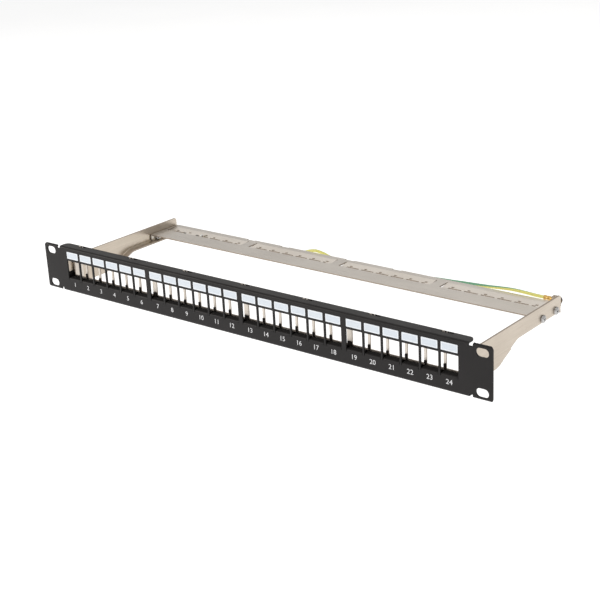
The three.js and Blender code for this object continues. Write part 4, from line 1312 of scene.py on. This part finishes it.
def make_earth_screw():
    """The dark ground screw and the toothed washer under its head."""
    low, high = cad_box("earth_washer")
    teeth = 14
    outline = []
    for k in range(teeth):
        for share, radius in ((0.0, 3.1), (0.25, 3.1), (0.4, 3.8), (0.85, 3.8)):
            angle = 2 * math.pi * (k + share) / teeth
            outline.append((EARTH_X + radius * math.cos(angle), EARTH_Z + radius * math.sin(angle)))
    bm = upright_sheet(outline, [circle(EARTH_X, EARTH_Z, 1.6)], low.y, high.y - low.y, 0.08)
    piece("toothed_washer", bm, DARK_ZINC, ["earth_washer"])
    screw = screw_mesh(EARTH_SHANK, (EARTH_X, high.y + SEAT_GAP, EARTH_Z), (0, 1, 0))
    piece("ground_screw", screw, DARK_ZINC, ["earth_screw"], 40)


def round_corners(points, radius, steps=4):
    """A closed outline whose corners are curves of about the radius."""
    outline = []
    for before, point, after in zip(points[-1:] + points[:-1], points, points[1:] + points[:1]):
        p = Vector(point)
        a, b = (
            tuple(p + (Vector(end) - p).normalized() * min(radius, math.dist(end, point) * 0.45))
            for end in (before, after)
        )
        outline += [a, *curve_through(a, point, b, steps)]
    return outline


TIE_X, TIE_WIDTH, TIE_SHEET = -168.0, 2.0, 0.8
TIE_HEAD = (3.6, 3.2, 2.6)  # along X, out from the band, and up


def make_tie():
    """The nylon tie: under the hank, up through two slots and over the web between them."""
    low, high = cad_box("hank_tie")
    front, rear, under = low.y, high.y, low.z
    hank_top = HANK_HIGH.z + GAP
    back = REAR_TIE[2] + 0.5
    outer = [(front, under), (rear, under), (rear, hank_top + TIE_SHEET), (back + 1.0, hank_top + TIE_SHEET)]
    outer += [(back + 0.8, high.z), (front, high.z - 0.4)]
    inner = [(front + TIE_SHEET, under + TIE_SHEET), (rear - TIE_SHEET, under + TIE_SHEET)]
    inner += [(rear - TIE_SHEET, hank_top), (back, hank_top), (back, high.z - 0.7)]
    inner += [(front + TIE_SHEET, high.z - 1.1)]
    band = sheet_mesh(round_corners(outer, 1.4), [round_corners(inner, 0.8)], TIE_WIDTH, 0.2)
    place(band, lambda u, v, w: (TIE_X - TIE_WIDTH / 2 + w, u, v))
    wide, out, tall = TIE_HEAD
    middle = (under + hank_top) / 2
    block = rounded_box(-wide / 2, wide / 2, middle - tall / 2, middle + tall / 2, 0.5, 4)
    mouth = rounded_box(-1.2, 1.2, middle - 0.5, middle + 0.5, 0.2, 2)
    head = sheet_mesh(block, [mouth], out, 0.3, 3)
    place(head, lambda u, v, w: (TIE_X + u, rear - 0.6 + w, v))
    piece("nylon_tie", join_meshes([band, head]), NYLON, ["hank_tie"])


# ---------- room ----------

FLOOR_Z = -0.16
FLOOR_SIZE = 14.0
FLOOR_GLOW = 0.45
WORLD_STRENGTH = 0.5
WARM = (1.0, 0.95, 0.89)


def floor_paint():
    n = Nodes("floor_paint")
    n.set(Base_Color=n.mottle(3, 3, 0.9, 0.93), Roughness=0.9, Specular_IOR_Level=0.1)
    n.set(Emission_Color=(1.0, 1.0, 1.0, 1), Emission_Strength=FLOOR_GLOW)
    return n.material


def make_room():
    bm = bmesh.new()
    bmesh.ops.create_grid(bm, x_segments=4, y_segments=4, size=FLOOR_SIZE)
    mesh = to_mesh("floor", bm)
    mesh.materials.append(floor_paint())
    floor = add_object("floor", mesh)
    floor.location.z = FLOOR_Z
    world = bpy.data.worlds.new("world")
    bpy.context.scene.world = world
    world.use_nodes = True
    background = world.node_tree.nodes["Background"]
    background.inputs["Color"].default_value = (1.0, 1.0, 1.0, 1)
    background.inputs["Strength"].default_value = WORLD_STRENGTH
    bpy.context.scene.view_settings.view_transform = "Standard"


def add_light(name, place_at, look_at, size, power, colour=(1.0, 1.0, 1.0)):
    data = bpy.data.lights.new(name, "AREA")
    data.shape = "RECTANGLE"
    data.size, data.size_y = size
    data.energy = power
    data.color = colour
    lamp = add_object(name, data)
    lamp.location = place_at
    lamp.rotation_euler = (Vector(look_at) - Vector(place_at)).to_track_quat("-Z", "Y").to_euler()


def make_lights():
    add_light("top_softbox", (0.1, 0.2, 1.7), (0, 0.05, 0), (2.2, 1.6), 8)
    add_light("left_softbox", (-1.7, -1.55, 0.75), (0, 0, 0), (1.3, 0.7), 19, WARM)
    add_light("front_softbox", (0.5, -2.2, 1.0), (0, 0, 0), (1.2, 1.0), 8)
    add_light("right_softbox", (2.0, 0.0, 0.8), (0, 0.05, 0), (1.2, 1.0), 1.5)
    add_light("rear_softbox", (-1.5, 1.7, 1.45), (0, 0.1, 0), (2.6, 0.9), 5, WARM)


# ---------- everything ----------

make_camera()
terminals = make_terminals()
make_wire()
make_tie()
make_front_panel()
make_numbers()
for group_index in range(GROUPS):
    make_label_strip(group_index)
    make_comb(group_index)
make_ground_frame()
make_bracket(-1)
make_bracket(1)
make_cable_bar()
make_fasteners()
make_earth_screw()
make_room()
make_lights()
